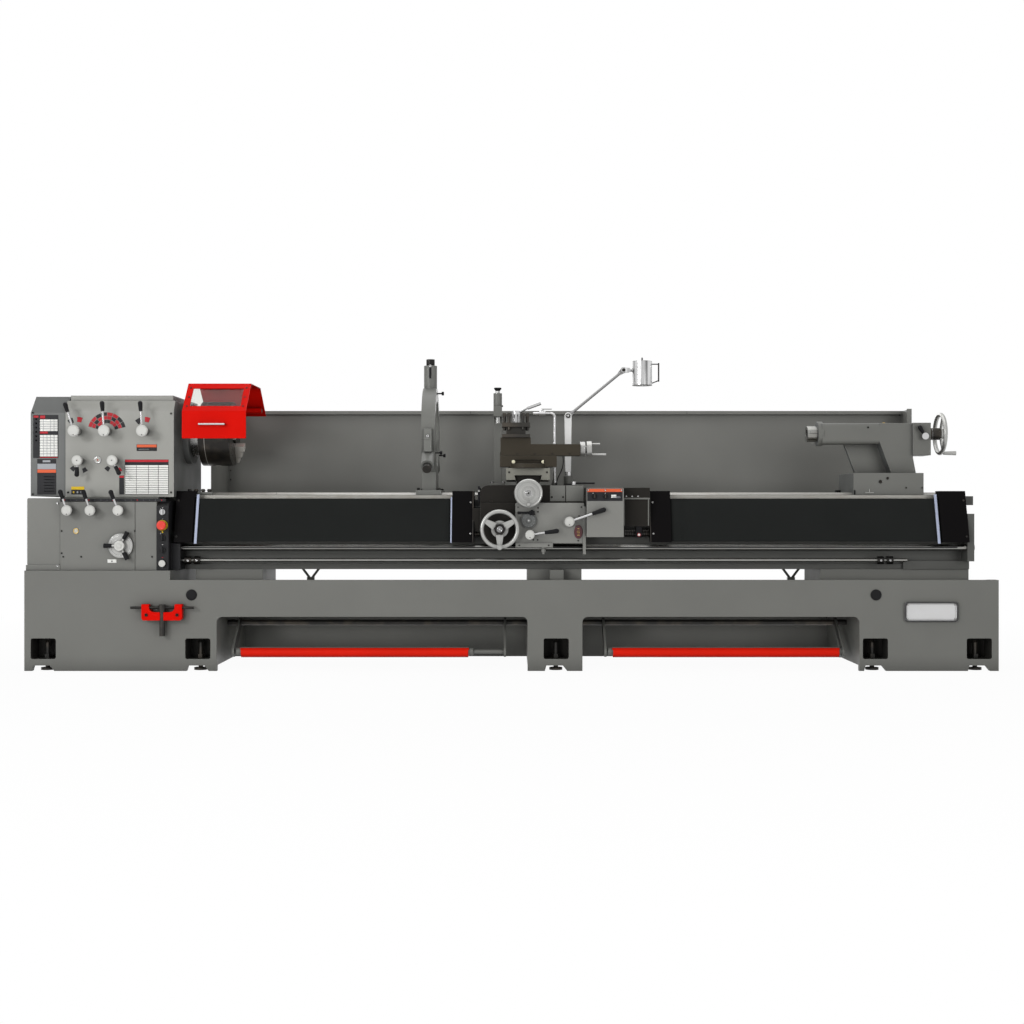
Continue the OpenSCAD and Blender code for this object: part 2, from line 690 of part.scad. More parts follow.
module chuck_guard() {
    outer = guard_outline(0);
    inner = guard_outline(sheet);
    color("red") {
        difference() {
            union() {
                along_x(guard_x[0], guard_x[1]) polygon(concat(outer,
                    [for (i = [len(inner) - 2:-1:0]) inner[i]]));
                bar_along_x(guard_x[0], guard_x[1] - 14, guard_pivot_y, guard_pivot_z,
                    guard_pin_r + 7);
                for (x = [guard_x[0], guard_x[1] - 60])
                    along_x(x, x + 40) polygon(link_outline(guard_pivot_y, guard_pivot_z, 12,
                        guard_pivot_y + 14, guard_pivot_z + 12, 12));
            }
            bar_along_x(guard_x[0] - 1, guard_x[1] + 1, guard_pivot_y, guard_pivot_z,
                guard_pin_r + fit);
            translate([0, front + 70, axis_z + 101]) rotate([45, 0, 0])
                box(guard_x[0] + 34, guard_x[1] - 34, 40, 180, -40, 40);
        }
        // pane
        translate([0, front + 72, axis_z + 99]) rotate([44.8, 0, 0])
            box(guard_x[0] + 24, guard_x[1] - 24, 28, 192, -3.65, -0.65);
        // handle
        bar_along_x(guard_x[0] + 90, guard_x[1] - 105, front + 44, axis_z + 32, 5);
        for (x = [guard_x[0] + 90, guard_x[1] - 113])
            box(x, x + 8, front + 44, front + 71, axis_z + 28, axis_z + 36);
    }
}

// Rear splash guard: folded sheet that rests on three gussets and two forked struts
module splash_guard() {
    x0 = head_x1 + 80;
    x1 = end_x1 - 202;
    y1 = front + 1100;
    y_left = front + 612;
    y_right = front + 890;
    z0 = support_z + 88;
    lip = 29;
    notch_z = guard_pivot_z - 80;
    color("gray") {
        box(x0, x1, y1 - sheet, y1, z0, splash_top);
        box(x0, x1, y1 - lip, y1, splash_top - sheet, splash_top);
        box(x0, x1, y1 - lip, y1 - lip + sheet, splash_top - 20, splash_top);
        along_x(x0, x0 + sheet) polygon([[y_left, z0 - 40], [y_left, notch_z],
            [y_left + 150, notch_z], [y_left + 180, splash_top], [y1, splash_top],
            [y1, z0 - 40]]);
        box(x1 - sheet, x1, y_right, y1, z0, splash_top);
        box(x1 - 28, x1, y_right, y_right + sheet, z0, splash_top);
        along_x(x0, x1) polygon([[y1 - sheet, z0], [y1, z0], [y1, z0 + 5],
            [front + base_w + 10, support_z - 4], [front + base_w - 10, support_z - 4],
            [front + base_w - 10, support_z - 7], [front + base_w + 10, support_z - 7]]);
        for (x = [support_x[0][1] + 165, support_x[2][0] - 35]) {
            box(x - 20, x + 20, rear, rear + 34, tray_rear_z - 60, tray_rear_z + 24);
            for (s = [-1, 1])
                slanted_bar(x, tray_rear_z + 10, x + s * 55, support_z - 8.5, rear + 20, 7);
        }
        for (x = [support_x[0][0] + 90, 224, support_x[2][0] + 260])
            along_x(x - 5, x + 5) polygon([[rear, tray_rear_z - 120], [rear, support_z - 11],
                [y1 - sheet, z0 - 2 * gap], [y1 - sheet, z0 - 40],
                [rear + 60, tray_rear_z - 120]]);
    }
}

// Depth of the leaning sheet's front face at height z
function lean_y(z) = curtain_y[0] + (z - curtain_z[0])
    * (curtain_y[1] - curtain_y[0]) / (curtain_z[1] - curtain_z[0]);

// Outline that leans like the sheet, between two heights and two depths from it
function lean_outline(z0, z1, d0, d1) = [[lean_y(z0) + d0, z0], [lean_y(z1) + d0, z1],
    [lean_y(z1) + d1, z1], [lean_y(z0) + d1, z0]];

// Cross section of the way covers' boxes
function cover_outline() = lean_outline(box_z[0], box_z[1], -11, box_d - 11);

// Canisters that the covers roll up in, with the guide strip at each mouth
module cover_canisters() {
    color("black") for (i = [0, 1]) {
        c = canister_x[i];
        mouth = i == 0 ? c[1] : c[0];
        side = i == 0 ? 1 : -1;
        along_x(c[0], c[1]) polygon(cover_outline());
        box(c[0] + 20, c[1] - 20, curtain_y[1] + 30, bed_y0, way_z - 50, way_z - 12);
        along_x(mouth + side * 16 - 7, mouth + side * 16 + 7)
            polygon(lean_outline(curtain_z[0] - 12, curtain_z[1] + 22, -8, -gap));
        along_x(mouth + side * 9 - 9, mouth + side * 9 + 9)
            polygon(lean_outline(curtain_z[0] - 12, curtain_z[1] + 8, curtain_t + 3,
            curtain_t + 15));
    }
}

// The two roll-up sheets, between the canisters and the carriage
module way_curtains() {
    spans = [[canister_x[0][1], carriage_box_x[0][0]], [carriage_box_x[1][1], canister_x[1][0]]];
    color("black") for (s = spans)
        along_x(s[0], s[1]) polygon(lean_outline(curtain_z[0], curtain_z[1], 0, curtain_t));
}

// Handwheel about its own axis: a round rim, spokes and a hub
module handwheel(rim_r, tube_r, hub_r, hub_len, angles) {
    rotate_extrude() translate([rim_r, 0]) circle(r = tube_r);
    translate([0, 0, -hub_len / 2]) cylinder(h = hub_len, r = hub_r);
    for (a = angles)
        rotate([0, 0, a]) rotate([0, 90, 0]) cylinder(h = rim_r, r = tube_r * 0.7);
}

module saddle() {
    rear_wing_y = front + 510;
    tongue_x = [carriage_x - 70, carriage_x + 70];
    color("gray") difference() {
        union() {
            along_y(saddle_y[0], bed_y0 + 130) polygon(concat([[saddle_x[0], apron_z],
                [saddle_x[1], apron_z]], arc(saddle_x[1] - 16, saddle_z - 16, 16, 0, 90),
                arc(saddle_x[0] + 42, saddle_z - 42, 42, 90, 180)));
            box(saddle_x[0] + 20, saddle_x[1], rear_wing_y, saddle_y[1], way_z + gap, saddle_z);
            box(cross_x[0] - 6, cross_x[1] + 6, bed_y0 + 129, rear_wing_y + 1,
                way_z + gap, saddle_z);
            along_y(saddle_y[0] + 30, saddle_y[1]) polygon([[tongue_x[0] + 14, saddle_z - 1],
                [tongue_x[0], cross_z + 24], [tongue_x[1], cross_z + 24],
                [tongue_x[1] - 14, saddle_z - 1]]);
            box(tongue_x[0] + 14, tongue_x[1] - 14, saddle_y[0] + 30, saddle_y[1],
                saddle_z - 1, saddle_z + 1);
            bar_along_y(front + 8, saddle_y[0] + 1, carriage_x, cross_screw_z, 34);
            bar_along_z(saddle_z - 1, saddle_z + 60, lamp_x, service_y, 24);
            bar_along_z(saddle_z - 1, saddle_z + 22, pipe_x, service_y, 17);
        }
        way_room(saddle_x[0] - 1, saddle_x[1] + 1);
        box(saddle_x[0] - 1, saddle_x[1] + 1, bed_y0 - gap, bed_y0 + 131,
            apron_z - 1, way_z + gap);
        bar_along_y(front + 6, front + 62, carriage_x, cross_screw_z, 12 + fit);
        bar_along_z(saddle_z + 20, saddle_z + 62, lamp_x, service_y, 12 + fit);
        bar_along_z(saddle_z - 20, saddle_z + 24, pipe_x, service_y, pipe_r + fit);
    }
}

module apron() {
    back = bed_y0 - 22;
    wing_x = saddle_x[0] + 1;
    low = way_z - 250;
    motor_x = [carriage_x + 497, carriage_x + 628];
    plate_t = 10;
    color("darkgray") difference() {
        union() {
            along_y(apron_y, back) polygon(round_rect(apron_x[0], low, apron_x[1], apron_z, 6));
            along_y(front + 70, back) polygon(concat([[apron_x[0] + 10, apron_z],
                [wing_x, apron_z]], arc(wing_x + 50, low + 50, 50, 180, 270),
                [[apron_x[0] + 10, low]]));
            box(apron_x[0], apron_x[0] + 192, apron_y - 10, back - 20, low - 21, low + 1);
            // electrical box and the rapid feed motor's housing
            box(ebox_x[0], ebox_x[1], front - 20, front + 118, ebox_z[0], ebox_z[1]);
            box(apron_x[1] - 1, ebox_x[0] + 1, front + 60, front + 110, low + 30, apron_z - 20);
            box(ebox_x[1] - 1, motor_x[1] + 1, front + 70, front + 118, way_z - 163, way_z - 17);
            // boxes that the way covers are fixed to, each with its end plate
            for (c = carriage_box_x) along_x(c[0], c[1]) polygon(cover_outline());
            along_x(carriage_box_x[0][1] - 1, carriage_box_x[0][1] + plate_t)
                polygon(cover_outline());
            along_x(carriage_box_x[1][0] - plate_t, carriage_box_x[1][0] + 1)
                polygon(cover_outline());
            box(carriage_box_x[0][1], wing_x + 1, front + 84, front + 140,
                way_z - 190, way_z - 70);
            // end plate and the oil plunger under the flange
            box(apron_x[1] - 7, apron_x[1] + 8, apron_y - 6, apron_y + 48, low - 56, apron_z - 19);
            bar_along_z(low - 46, low - 20, carriage_x + 78, apron_y + 22, 12);
            bar_along_z(low - 56, low - 45, carriage_x + 78, apron_y + 22, 7);
            // handwheel boss, thread dial and lever bosses
            bar_along_y(front + 20, front + 71, apron_wheel_x, apron_wheel_z, 46);
            bar_along_y(apron_y - 14, apron_y + 1, carriage_x + 2, way_z - 133, 40);
            bar_along_y(apron_y - 6, apron_y + 1, carriage_x + 208, way_z - 138, 30);
        }
        bar_along_y(front + 18, front + 90, apron_wheel_x, apron_wheel_z, 14 + fit);
        lever_bore(carriage_x + 208, apron_y - 6, way_z - 138);
        lever_bore(carriage_x + 8, apron_y, way_z - 205);
        bar_along_x(carriage_box_x[0][0] - 1, carriage_box_x[1][1] + 1,
            leadscrew_y, leadscrew_z, leadscrew_r + 1);
        bar_along_x(carriage_box_x[0][0] - 1, carriage_box_x[1][1] + 1,
            rod_y, feed_rod_z, feed_rod_r + 1);
    }
}

module apron_handwheel() {
    wheel_y = front - 36;
    tube_r = 11;
    color("silver") {
        translate([apron_wheel_x, wheel_y, apron_wheel_z]) rotate([90, 0, 0])
            handwheel(apron_wheel_r, tube_r, 27, 40, [-90, 30, 150]);
        bar_along_y(wheel_y, front + 20 - gap, apron_wheel_x, apron_wheel_z, 22);
        bar_along_y(front + 10, front + 80, apron_wheel_x, apron_wheel_z, 14);
        bar_along_y(front, front + 18, apron_wheel_x, apron_wheel_z, 44);
        bar_along_y(wheel_y - 96, wheel_y, apron_wheel_x, apron_wheel_z - apron_wheel_r, 7);
        bar_along_y(wheel_y - 94, wheel_y - 22, apron_wheel_x,
            apron_wheel_z - apron_wheel_r, 12);
    }
}

module feed_engage_lever() {
    lever(carriage_x + 208, apron_y - 6, way_z - 138, 25, 76, 122, 71, 62);
}
module half_nut_lever() {
    lever(carriage_x + 8, apron_y, way_z - 205, 24, 50, 76, 82, 62);
}

module cross_slide() {
    slot = [carriage_x - 70, carriage_x + 70];
    c = gap;
    color("gray") difference() {
        box(cross_x[0], cross_x[1], cross_y[0], cross_y[1], cross_z, cross_z + cross_h);
        along_y(cross_y[0] - 1, cross_y[1] + 1) polygon([[slot[0] + 7 - 2 * c, cross_z - 1],
            [slot[0] - 2 * c, cross_z + 24 + c], [slot[1] + 2 * c, cross_z + 24 + c],
            [slot[1] - 7 + 2 * c, cross_z - 1]]);
        bar_along_z(cross_z + 34, cross_z + cross_h + 1, carriage_x, compound_y, 15 + fit);
    }
}

module cross_handwheel() {
    rim_y = front - 46;
    color("silver") {
        translate([carriage_x, rim_y, cross_screw_z]) rotate([-90, 0, 0])
            rotate_extrude() polygon([[0, 6], [20, 0], [cross_wheel_r - 14, 6],
                [cross_wheel_r - 5, 2], [cross_wheel_r, 8], [cross_wheel_r, 16],
                [cross_wheel_r - 6, 20], [cross_wheel_r - 18, 14], [24, 18],
                [24, 46], [0, 46]]);
        bar_along_y(front - 12, front + 8 - gap, carriage_x, cross_screw_z, 30);
        bar_along_y(front - 4, front + 60, carriage_x, cross_screw_z, 12);
        bar_along_y(rim_y - 60, rim_y + 10, carriage_x, cross_screw_z - cross_wheel_r + 16, 8);
    }
}

// Dovetail across the top of the compound rest, along X
function dovetail(y, z, w, h, c) = [[y - w / 2 - c, z - c], [y - w / 2 - h * 0.4 - 2 * c, z + h + c],
    [y + w / 2 + h * 0.4 + 2 * c, z + h + c], [y + w / 2 + c, z - c]];

module compound_rest() {
    x0 = carriage_x - 146;
    x1 = carriage_x + 148;
    color("gray") difference() {
        union() {
            bar_along_z(compound_z, compound_z + 22, carriage_x, compound_y, 104);
            box(x0, x1, compound_y - 55, compound_y + 55, compound_z + 6, top_z - gap);
            along_x(x0, x1) polygon(dovetail(compound_y, top_z - gap - 1, 50, 20, 0));
            bar_along_z(cross_z + 36, compound_z + 1, carriage_x, compound_y, 15);
        }
        box(carriage_x - 84, carriage_x + 80, compound_y - 56, compound_y - 44,
            compound_z + 22, compound_z + 42);
    }
}

module top_slide() {
    color("dimgray") difference() {
        union() {
            box(top_x[0], top_x[1], compound_y - 52, compound_y + 52, top_z, top_z + top_h);
            box(top_x[0], top_x[0] + 157, compound_y - 52, compound_y + 52,
                top_z + top_h - 1, post_z - gap);
            bar_along_z(post_z - 10, post_z + 112, post_x, compound_y, 14);
        }
        along_x(top_x[0] - 1, top_x[1] + 1)
            polygon(dovetail(compound_y, top_z - gap - 1, 50, 20, gap));
        bar_along_x(top_x[1] - 40, top_x[1] + 1, compound_y, top_z + 35, 10 + fit);
    }
}

module top_handwheel() {
    hub_x = top_x[1] + gap;
    z = top_z + 35;
    color("silver") {
        bar_along_x(hub_x - 36, hub_x + 4, compound_y, z, 10);
        bar_along_x(hub_x, hub_x + 26, compound_y, z, 38);
        bar_along_x(hub_x + 26, hub_x + 34, compound_y, z, 18);
        bar_along_x(hub_x + 34, hub_x + 60, compound_y, z, 41);
        bar_along_x(hub_x + 60, hub_x + 104, compound_y, z + 27, 5);
        bar_along_x(hub_x + 60, hub_x + 136, compound_y, z - 28, 6);
    }
}

module toolpost() {
    half = toolpost_w / 2;
    core = half - 22;
    bolt_r = 8;
    color("dimgray") difference() {
        union() {
            box(post_x - half, post_x + half, compound_y - half, compound_y + half,
                post_z, post_z + 17);
            box(post_x - core, post_x + core, compound_y - core, compound_y + core,
                post_z + 16, post_z + 55);
            box(post_x - half, post_x + half, compound_y - half, compound_y + half,
                post_z + 54, post_z + 76);
            for (a = [0:90:270], s = [-1, 1])
                translate([post_x, compound_y, 0]) rotate([0, 0, a])
                    translate([s * 36, half - 13, 0]) {
                        translate([0, 0, post_z + 40]) cylinder(h = 70, r = bolt_r);
                        translate([-9, -9, post_z + 108]) cube([18, 18, 18]);
                    }
        }
        bar_along_z(post_z - 1, post_z + 80, post_x, compound_y, 14 + fit);
    }
}

module toolpost_lever() {
    z0 = post_z + 76 + gap;
    color("silver") difference() {
        union() {
            bar_along_z(z0, z0 + 64, post_x, compound_y, 21);
            slanted_bar(post_x, z0 + 46, post_x + 62, z0 + 82, compound_y, 7);
            slanted_bar(post_x + 60, z0 + 81, post_x + 128, z0 + 106, compound_y, 11);
        }
        bar_along_z(z0 - 1, z0 + 46, post_x, compound_y, 14 + fit);
    }
}

// Follow rest: a column at the back of the saddle with an arm over the work
module follow_rest() {
    mid_x = (follow_x[0] + follow_x[1]) / 2;
    column_y = [front + 478, front + 566];
    arm_z = axis_z + 92;
    color("gray") difference() {
        union() {
            along_x(follow_x[0], follow_x[1]) polygon(concat(
                [[column_y[1], saddle_z], [column_y[1] + 20, axis_z]],
                arc(bed_y + 60, axis_z + 20, 128, 0, 90, 6),
                [[bed_y - 34, axis_z + 148], [bed_y - 34, arm_z]],
                arc(bed_y + 40, axis_z + 50, 42, 90, 0, 4),
                [[column_y[0], axis_z], [column_y[0], saddle_z]]));
            box(follow_x[0] - 20, follow_x[1] + 18, column_y[0] - 10, column_y[1] + 30,
                saddle_z, saddle_z + 18);
            bar_along_z(arm_z + 1, arm_z + 126, mid_x, bed_y, 23);
        }
        bar_along_z(arm_z - 1, arm_z + 130, mid_x, bed_y, 12 + fit);
    }
}

module follow_finger() {
    mid_x = (follow_x[0] + follow_x[1]) / 2;
    arm_z = axis_z + 92;
    color("silver") {
        bar_along_z(axis_z + 56, arm_z + 140, mid_x, bed_y, 12);
        translate([mid_x, bed_y, arm_z + 134]) cylinder(h = 14, r1 = 8, r2 = 18);
        bar_along_z(arm_z + 148, arm_z + 156, mid_x, bed_y, 20);
    }
}

// Coolant pipe that swivels on the saddle, with a ball valve near its mouth
module coolant_pipe() {
    reach = 118;
    bend_r = 22;
    color("silver") {
        bar_along_z(saddle_z - 16, pipe_z - bend_r, pipe_x, service_y, pipe_r);
        translate([pipe_x - bend_r, service_y, pipe_z - bend_r]) rotate([90, 0, 0])
            rotate_extrude(angle = 90) translate([bend_r, 0]) circle(r = pipe_r);
        bar_along_x(pipe_x - reach, pipe_x - bend_r, service_y, pipe_z, pipe_r);
        bar_along_x(pipe_x - reach + 34, pipe_x - reach + 68, service_y, pipe_z, 14);
        bar_along_z(pipe_z, pipe_z + 24, pipe_x - reach + 51, service_y, 6);
        box(pipe_x - reach + 45, pipe_x - reach + 102, service_y - 7, service_y + 7,
            pipe_z + 22, pipe_z + 27);
        bar_along_z(saddle_z + 22 + gap, saddle_z + 34, pipe_x, service_y, 14);
    }
}

module lamp_lower_arm() {
    arm_z0 = saddle_z + 60 + gap;
    color("silver") difference() {
        union() {
            bar_along_z(saddle_z + 22, arm_z0 + 1, lamp_x, service_y, 12);
            bar_along_z(arm_z0, arm_z0 + 22, lamp_x, service_y, 18);
            along_y(service_y - 11, service_y + 11) polygon(link_outline(lamp_x,
                arm_z0 + 30, 16, lamp_x, elbow_z, 20));
        }
        box(lamp_x - 30, lamp_x + 30, service_y - 6 - gap, service_y + 6 + gap,
            elbow_z - 44, elbow_z + 30);
        bar_along_y(service_y - 20, service_y + 20, lamp_x, elbow_z, 6 + fit);
    }
}

module lamp_upper_arm() {
    a = atan2(head_joint_z - elbow_z, head_joint_x - lamp_x);
    run = 22;
    color("silver") {
        along_y(service_y - 6, service_y + 6)
            polygon(link_outline(lamp_x, elbow_z, 15, lamp_x + 30 * cos(a),
                elbow_z + 30 * sin(a), 10));
        bar_along_y(service_y - 15, service_y + 15, lamp_x, elbow_z, 6);
        slanted_bar(lamp_x + run * cos(a), elbow_z + run * sin(a),
            head_joint_x - run * cos(a), head_joint_z - run * sin(a), service_y, 8);
        difference() {
            along_y(service_y - 6, service_y + 6)
                polygon(link_outline(head_joint_x, head_joint_z, 17,
                    head_joint_x - 30 * cos(a), head_joint_z - 30 * sin(a), 10));
            bar_along_y(service_y - 20, service_y + 20, head_joint_x, head_joint_z, 7 + fit);
        }
    }
}

// Lamp head: a cup that opens downwards, with a wire handle and a switch
module lamp_head() {
    x0 = head_joint_x + 47;
    r = 55;
    x = x0 + r;
    z0 = head_joint_z - 85;
    z1 = head_joint_z + 49;
    skin = 3;
    color("silver") {
        difference() {
            bar_along_z(z0, z1, x, service_y, r);
            bar_along_z(z0 - 1, z1 - skin, x, service_y, r - skin);
        }
        bar_along_z(z1, z1 + 20, x, service_y, 4);
        bar_along_x(head_joint_x + 30, x0 + 4, service_y, head_joint_z, 8);
        box(head_joint_x + 18.5, head_joint_x + 34, service_y - 15, service_y + 15,
            head_joint_z - 10, head_joint_z + 10);
        bar_along_y(service_y - 16, service_y + 16, head_joint_x, head_joint_z, 7);
        for (s = [-1, 1])
            translate([0, s * 11, 0]) along_y(service_y - 4, service_y + 4)
                polygon(link_outline(head_joint_x, head_joint_z, 15,
                    head_joint_x + 26, head_joint_z, 12));
        bar_along_x(x + r - 4, x + r + 36, service_y, z1 - 16, 3);
        bar_along_z(z0 + 22, z1 - 10, x + r + 36, service_y, 4);
        slanted_bar(x + r - 4, z0 + 12, x + r + 36, z0 + 28, service_y, 3);
    }
}

module finger_sleeve(angle) {
    translate([steady_x, bed_y, axis_z]) rotate([angle - 90, 0, 0])
        translate([0, 0, steady_r + 12]) cylinder(h = sleeve_end - steady_r - 12, r = sleeve_r);
}
// Knobbed screw that locks a finger from the tailstock side
module finger_lock(angle) {
    translate([steady_x, bed_y, axis_z]) rotate([angle - 90, 0, 0])
        translate([0, 0, steady_r + 42]) rotate([0, 90, 0]) {
            translate([0, 0, sleeve_r - 5]) cylinder(h = 32, r = 4);
            translate([0, 0, sleeve_r + 25]) cylinder(h = 12, r = 10);
        }
}
module finger_bore(angle) {
    translate([steady_x, bed_y, axis_z]) rotate([angle - 90, 0, 0])
        translate([0, 0, steady_r - 30]) cylinder(h = sleeve_end, r = finger_r + fit);
}
module steady_finger(angle) {
    color("silver") translate([steady_x, bed_y, axis_z]) rotate([angle - 90, 0, 0]) {
        translate([0, 0, 96]) cylinder(h = sleeve_end - 96 + 14, r = finger_r);
        translate([0, 0, 82]) cylinder(h = 15, r = 12);
        translate([0, 0, sleeve_end + 3]) cylinder(h = 32, r = 23);
    }
}

module steady_base() {
    half = steady_w / 2;
    outer = steady_r + steady_ring_t;
    base_y = [bed_y0 + 4, bed_y1 - 4];
    color("gray") difference() {
        union() {
            bar_along_x(steady_x - half, steady_x + half, bed_y, axis_z, outer);
            along_x(steady_x - half, steady_x + half) polygon([[bed_y - 150, way_z + 20],
                [bed_y - 128, axis_z - outer + 40], [bed_y + 128, axis_z - outer + 40],
                [bed_y + 150, way_z + 20]]);
            box(steady_x - 67, steady_x + 67, base_y[0], base_y[1], way_z + gap, way_z + 26);
            for (a = [210, 330]) {
                finger_sleeve(a);
                finger_lock(a);
            }
            box(steady_x - 20, steady_x + 20, bed_y - outer - 22, bed_y - steady_r - 30,
                steady_split_z - 60, steady_split_z - gap);
            difference() {
                along_x(steady_x - 34, steady_x + 34)
                    polygon(link_outline(steady_hinge_y, steady_split_z - 4, 17,
                        steady_hinge_y - 40, steady_split_z - 40, 17));
                box(steady_x - 18 - gap, steady_x + 18 + gap, steady_hinge_y - 24,
                    steady_hinge_y + 30, steady_split_z - 30, steady_split_z + 30);
            }
        }
        bar_along_x(steady_x - 80, steady_x + 80, bed_y, axis_z, steady_r);
        finger_bore(210);
        finger_bore(330);
        box(steady_x - 80, steady_x + 80, bed_y - outer - 1, bed_y + outer,
            steady_split_z - gap, axis_z + outer + 1);
        bar_along_x(steady_x - 40, steady_x + 40, steady_hinge_y, steady_split_z - 4, 8 + fit);
        way_room(steady_x - 80, steady_x + 80);
    }
}

module steady_top() {
    half = steady_w / 2;
    outer = steady_r + steady_ring_t;
    color("gray") difference() {
        union() {
            bar_along_x(steady_x - half, steady_x + half, bed_y, axis_z, outer);
            finger_sleeve(90);
            finger_lock(90);
            along_x(steady_x - 18, steady_x + 18)
                polygon(link_outline(steady_hinge_y, steady_split_z - 4, 17,
                    steady_hinge_y - 34, steady_split_z + 36, 17));
            box(steady_x - 20, steady_x + 20, bed_y - outer - 22, bed_y - steady_r - 30,
                steady_split_z, steady_split_z + 60);
            bar_along_x(steady_x - 34, steady_x + 34, steady_hinge_y, steady_split_z - 4, 8);
        }
        bar_along_x(steady_x - 80, steady_x + 80, bed_y, axis_z, steady_r);
        finger_bore(90);
        box(steady_x - 80, steady_x + 80, bed_y - outer - 40, steady_hinge_y - 22,
            axis_z - outer - 1, steady_split_z);
    }
}

module steady_finger_1() { steady_finger(90); }
module steady_finger_2() { steady_finger(210); }
module steady_finger_3() { steady_finger(330); }

module tailstock() {
    barrel_y = [bed_y - 62, bed_y + 62];
    web_y = [bed_y + 28, bed_y + 60];
    neck_x = tail_x + 322;
    color("gray") difference() {
        union() {
            box(tail_base_x[0], tail_base_x[1], tail_base_y[0], tail_base_y[1],
                way_z + gap, tail_base_z);
            along_x(tail_x + 20, tail_end_x - 96) polygon(round_rect(barrel_y[0],
                axis_z - barrel_h + 4, barrel_y[1], axis_z + barrel_h - 4, 22));
            bar_along_x(tail_x, tail_x + 27, bed_y, axis_z, 66);
            along_y(barrel_y[0], barrel_y[1]) polygon([[neck_x, axis_z - 40],
                [neck_x + 64, tail_base_z - 1], [tail_base_x[1] - 6, tail_base_z - 1],
                [tail_end_x - 90, axis_z - 130], [tail_end_x - 90, axis_z + barrel_h - 6],
                [neck_x, axis_z + barrel_h - 6]]);
            along_y(web_y[0], web_y[1]) polygon([[tail_x + 150, axis_z - 40],
                [tail_x + 216, tail_base_z - 1], [neck_x + 80, tail_base_z - 1],
                [neck_x + 80, axis_z - 40]]);
            box(tail_end_x - 96, tail_end_x, bed_y - 80, bed_y + 80, axis_z - 117,
                axis_z + barrel_h - 4);
        }
        way_room(tail_base_x[0] - 1, tail_base_x[1] + 1);
        bar_along_x(tail_x - 1, tail_end_x - 110, bed_y, axis_z, quill_r + fit);
        bar_along_x(tail_end_x - 60, tail_end_x + 1, bed_y, axis_z, 15 + fit);
        lever_bore(quill_lock_x, bed_y - 80, quill_lock_z);
    }
}

module quill() {
    color("silver") difference() {
        bar_along_x(quill_x, tail_x + 330, bed_y, axis_z, quill_r);
        translate([quill_x - 0.5, bed_y, axis_z]) rotate([0, 90, 0])
            cylinder(h = 130, r1 = 22, r2 = 19);
    }
}

module tailstock_handwheel() {
    color("silver") {
        translate([tail_wheel_x, bed_y, axis_z]) rotate([0, 90, 0])
            handwheel(tail_wheel_r, 11, 28, 34, [90, 210, 330]);
        bar_along_x(tail_end_x + gap, tail_wheel_x, bed_y, axis_z, 32);
        bar_along_x(tail_end_x - 50, tail_end_x + 10, bed_y, axis_z, 15);
        bar_along_x(tail_wheel_x, tail_wheel_x + 26, bed_y, axis_z - tail_wheel_r, 6);
        translate([tail_wheel_x + 18, bed_y, axis_z - tail_wheel_r]) rotate([0, 90, 0])
            cylinder(h = 66, r1 = 9, r2 = 12);
    }
}

module quill_lock() {
    color("black")
        lever(quill_lock_x, bed_y - 80, quill_lock_z, 18, 24, 24, -30, 30);
}

base_casting();
leveling_screws();
key_holder();
chuck_key();
bed_casting();
headstock_casting();
belt_cover();
gearbox_casing();
splash_guard();
cover_canisters();
way_curtains();
end_cover();
spindle();
chuck_body();
jaw_1();
jaw_2();
jaw_3();
chuck_guard();
speed_lever_1();
speed_lever_2();
speed_lever_3();
range_lever_1();
range_lever_2();
feed_lever_1();
feed_lever_2();
feed_lever_3();
feed_dial();
e_stop();
jog_button();
leadscrew();
feed_rod();
control_rod();
brake_treadle();
saddle();
apron();
apron_handwheel();
feed_engage_lever();
half_nut_lever();
cross_slide();
cross_handwheel();
compound_rest();
top_slide();
top_handwheel();
toolpost();
toolpost_lever();
follow_rest();
follow_finger();
coolant_pipe();
lamp_lower_arm();
lamp_upper_arm();
lamp_head();
steady_base();
steady_top();
steady_finger_1();
steady_finger_2();
steady_finger_3();
tailstock();
quill();
tailstock_handwheel();
quill_lock();
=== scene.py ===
import collections
import json
import math

import bpy
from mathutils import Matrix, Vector

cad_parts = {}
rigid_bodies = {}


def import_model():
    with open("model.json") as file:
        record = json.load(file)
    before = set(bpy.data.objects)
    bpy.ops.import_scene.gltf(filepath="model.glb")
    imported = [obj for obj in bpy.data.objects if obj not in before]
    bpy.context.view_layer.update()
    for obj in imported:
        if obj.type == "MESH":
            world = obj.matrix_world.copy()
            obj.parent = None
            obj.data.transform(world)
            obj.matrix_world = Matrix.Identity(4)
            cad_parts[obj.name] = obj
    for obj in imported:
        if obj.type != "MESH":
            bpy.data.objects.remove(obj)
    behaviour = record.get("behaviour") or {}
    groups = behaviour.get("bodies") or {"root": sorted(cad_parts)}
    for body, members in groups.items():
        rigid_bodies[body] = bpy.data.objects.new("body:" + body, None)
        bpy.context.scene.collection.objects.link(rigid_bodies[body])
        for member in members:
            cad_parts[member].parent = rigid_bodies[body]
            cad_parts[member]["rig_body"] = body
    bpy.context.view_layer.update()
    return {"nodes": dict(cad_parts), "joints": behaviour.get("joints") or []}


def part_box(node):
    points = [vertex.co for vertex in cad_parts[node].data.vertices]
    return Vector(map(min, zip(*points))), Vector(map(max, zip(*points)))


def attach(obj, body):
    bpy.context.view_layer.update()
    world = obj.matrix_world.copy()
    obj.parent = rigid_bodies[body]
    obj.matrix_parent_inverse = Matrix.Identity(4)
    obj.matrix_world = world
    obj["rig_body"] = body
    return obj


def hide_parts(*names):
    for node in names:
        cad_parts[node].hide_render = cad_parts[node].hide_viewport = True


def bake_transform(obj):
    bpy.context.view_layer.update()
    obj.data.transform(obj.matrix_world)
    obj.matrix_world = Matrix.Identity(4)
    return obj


# The finished frame. Every piece of the lathe is in metres, with the floor at zero, the
# tailstock towards +X and the splash guard towards +Y.
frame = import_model()
nodes = frame["nodes"]
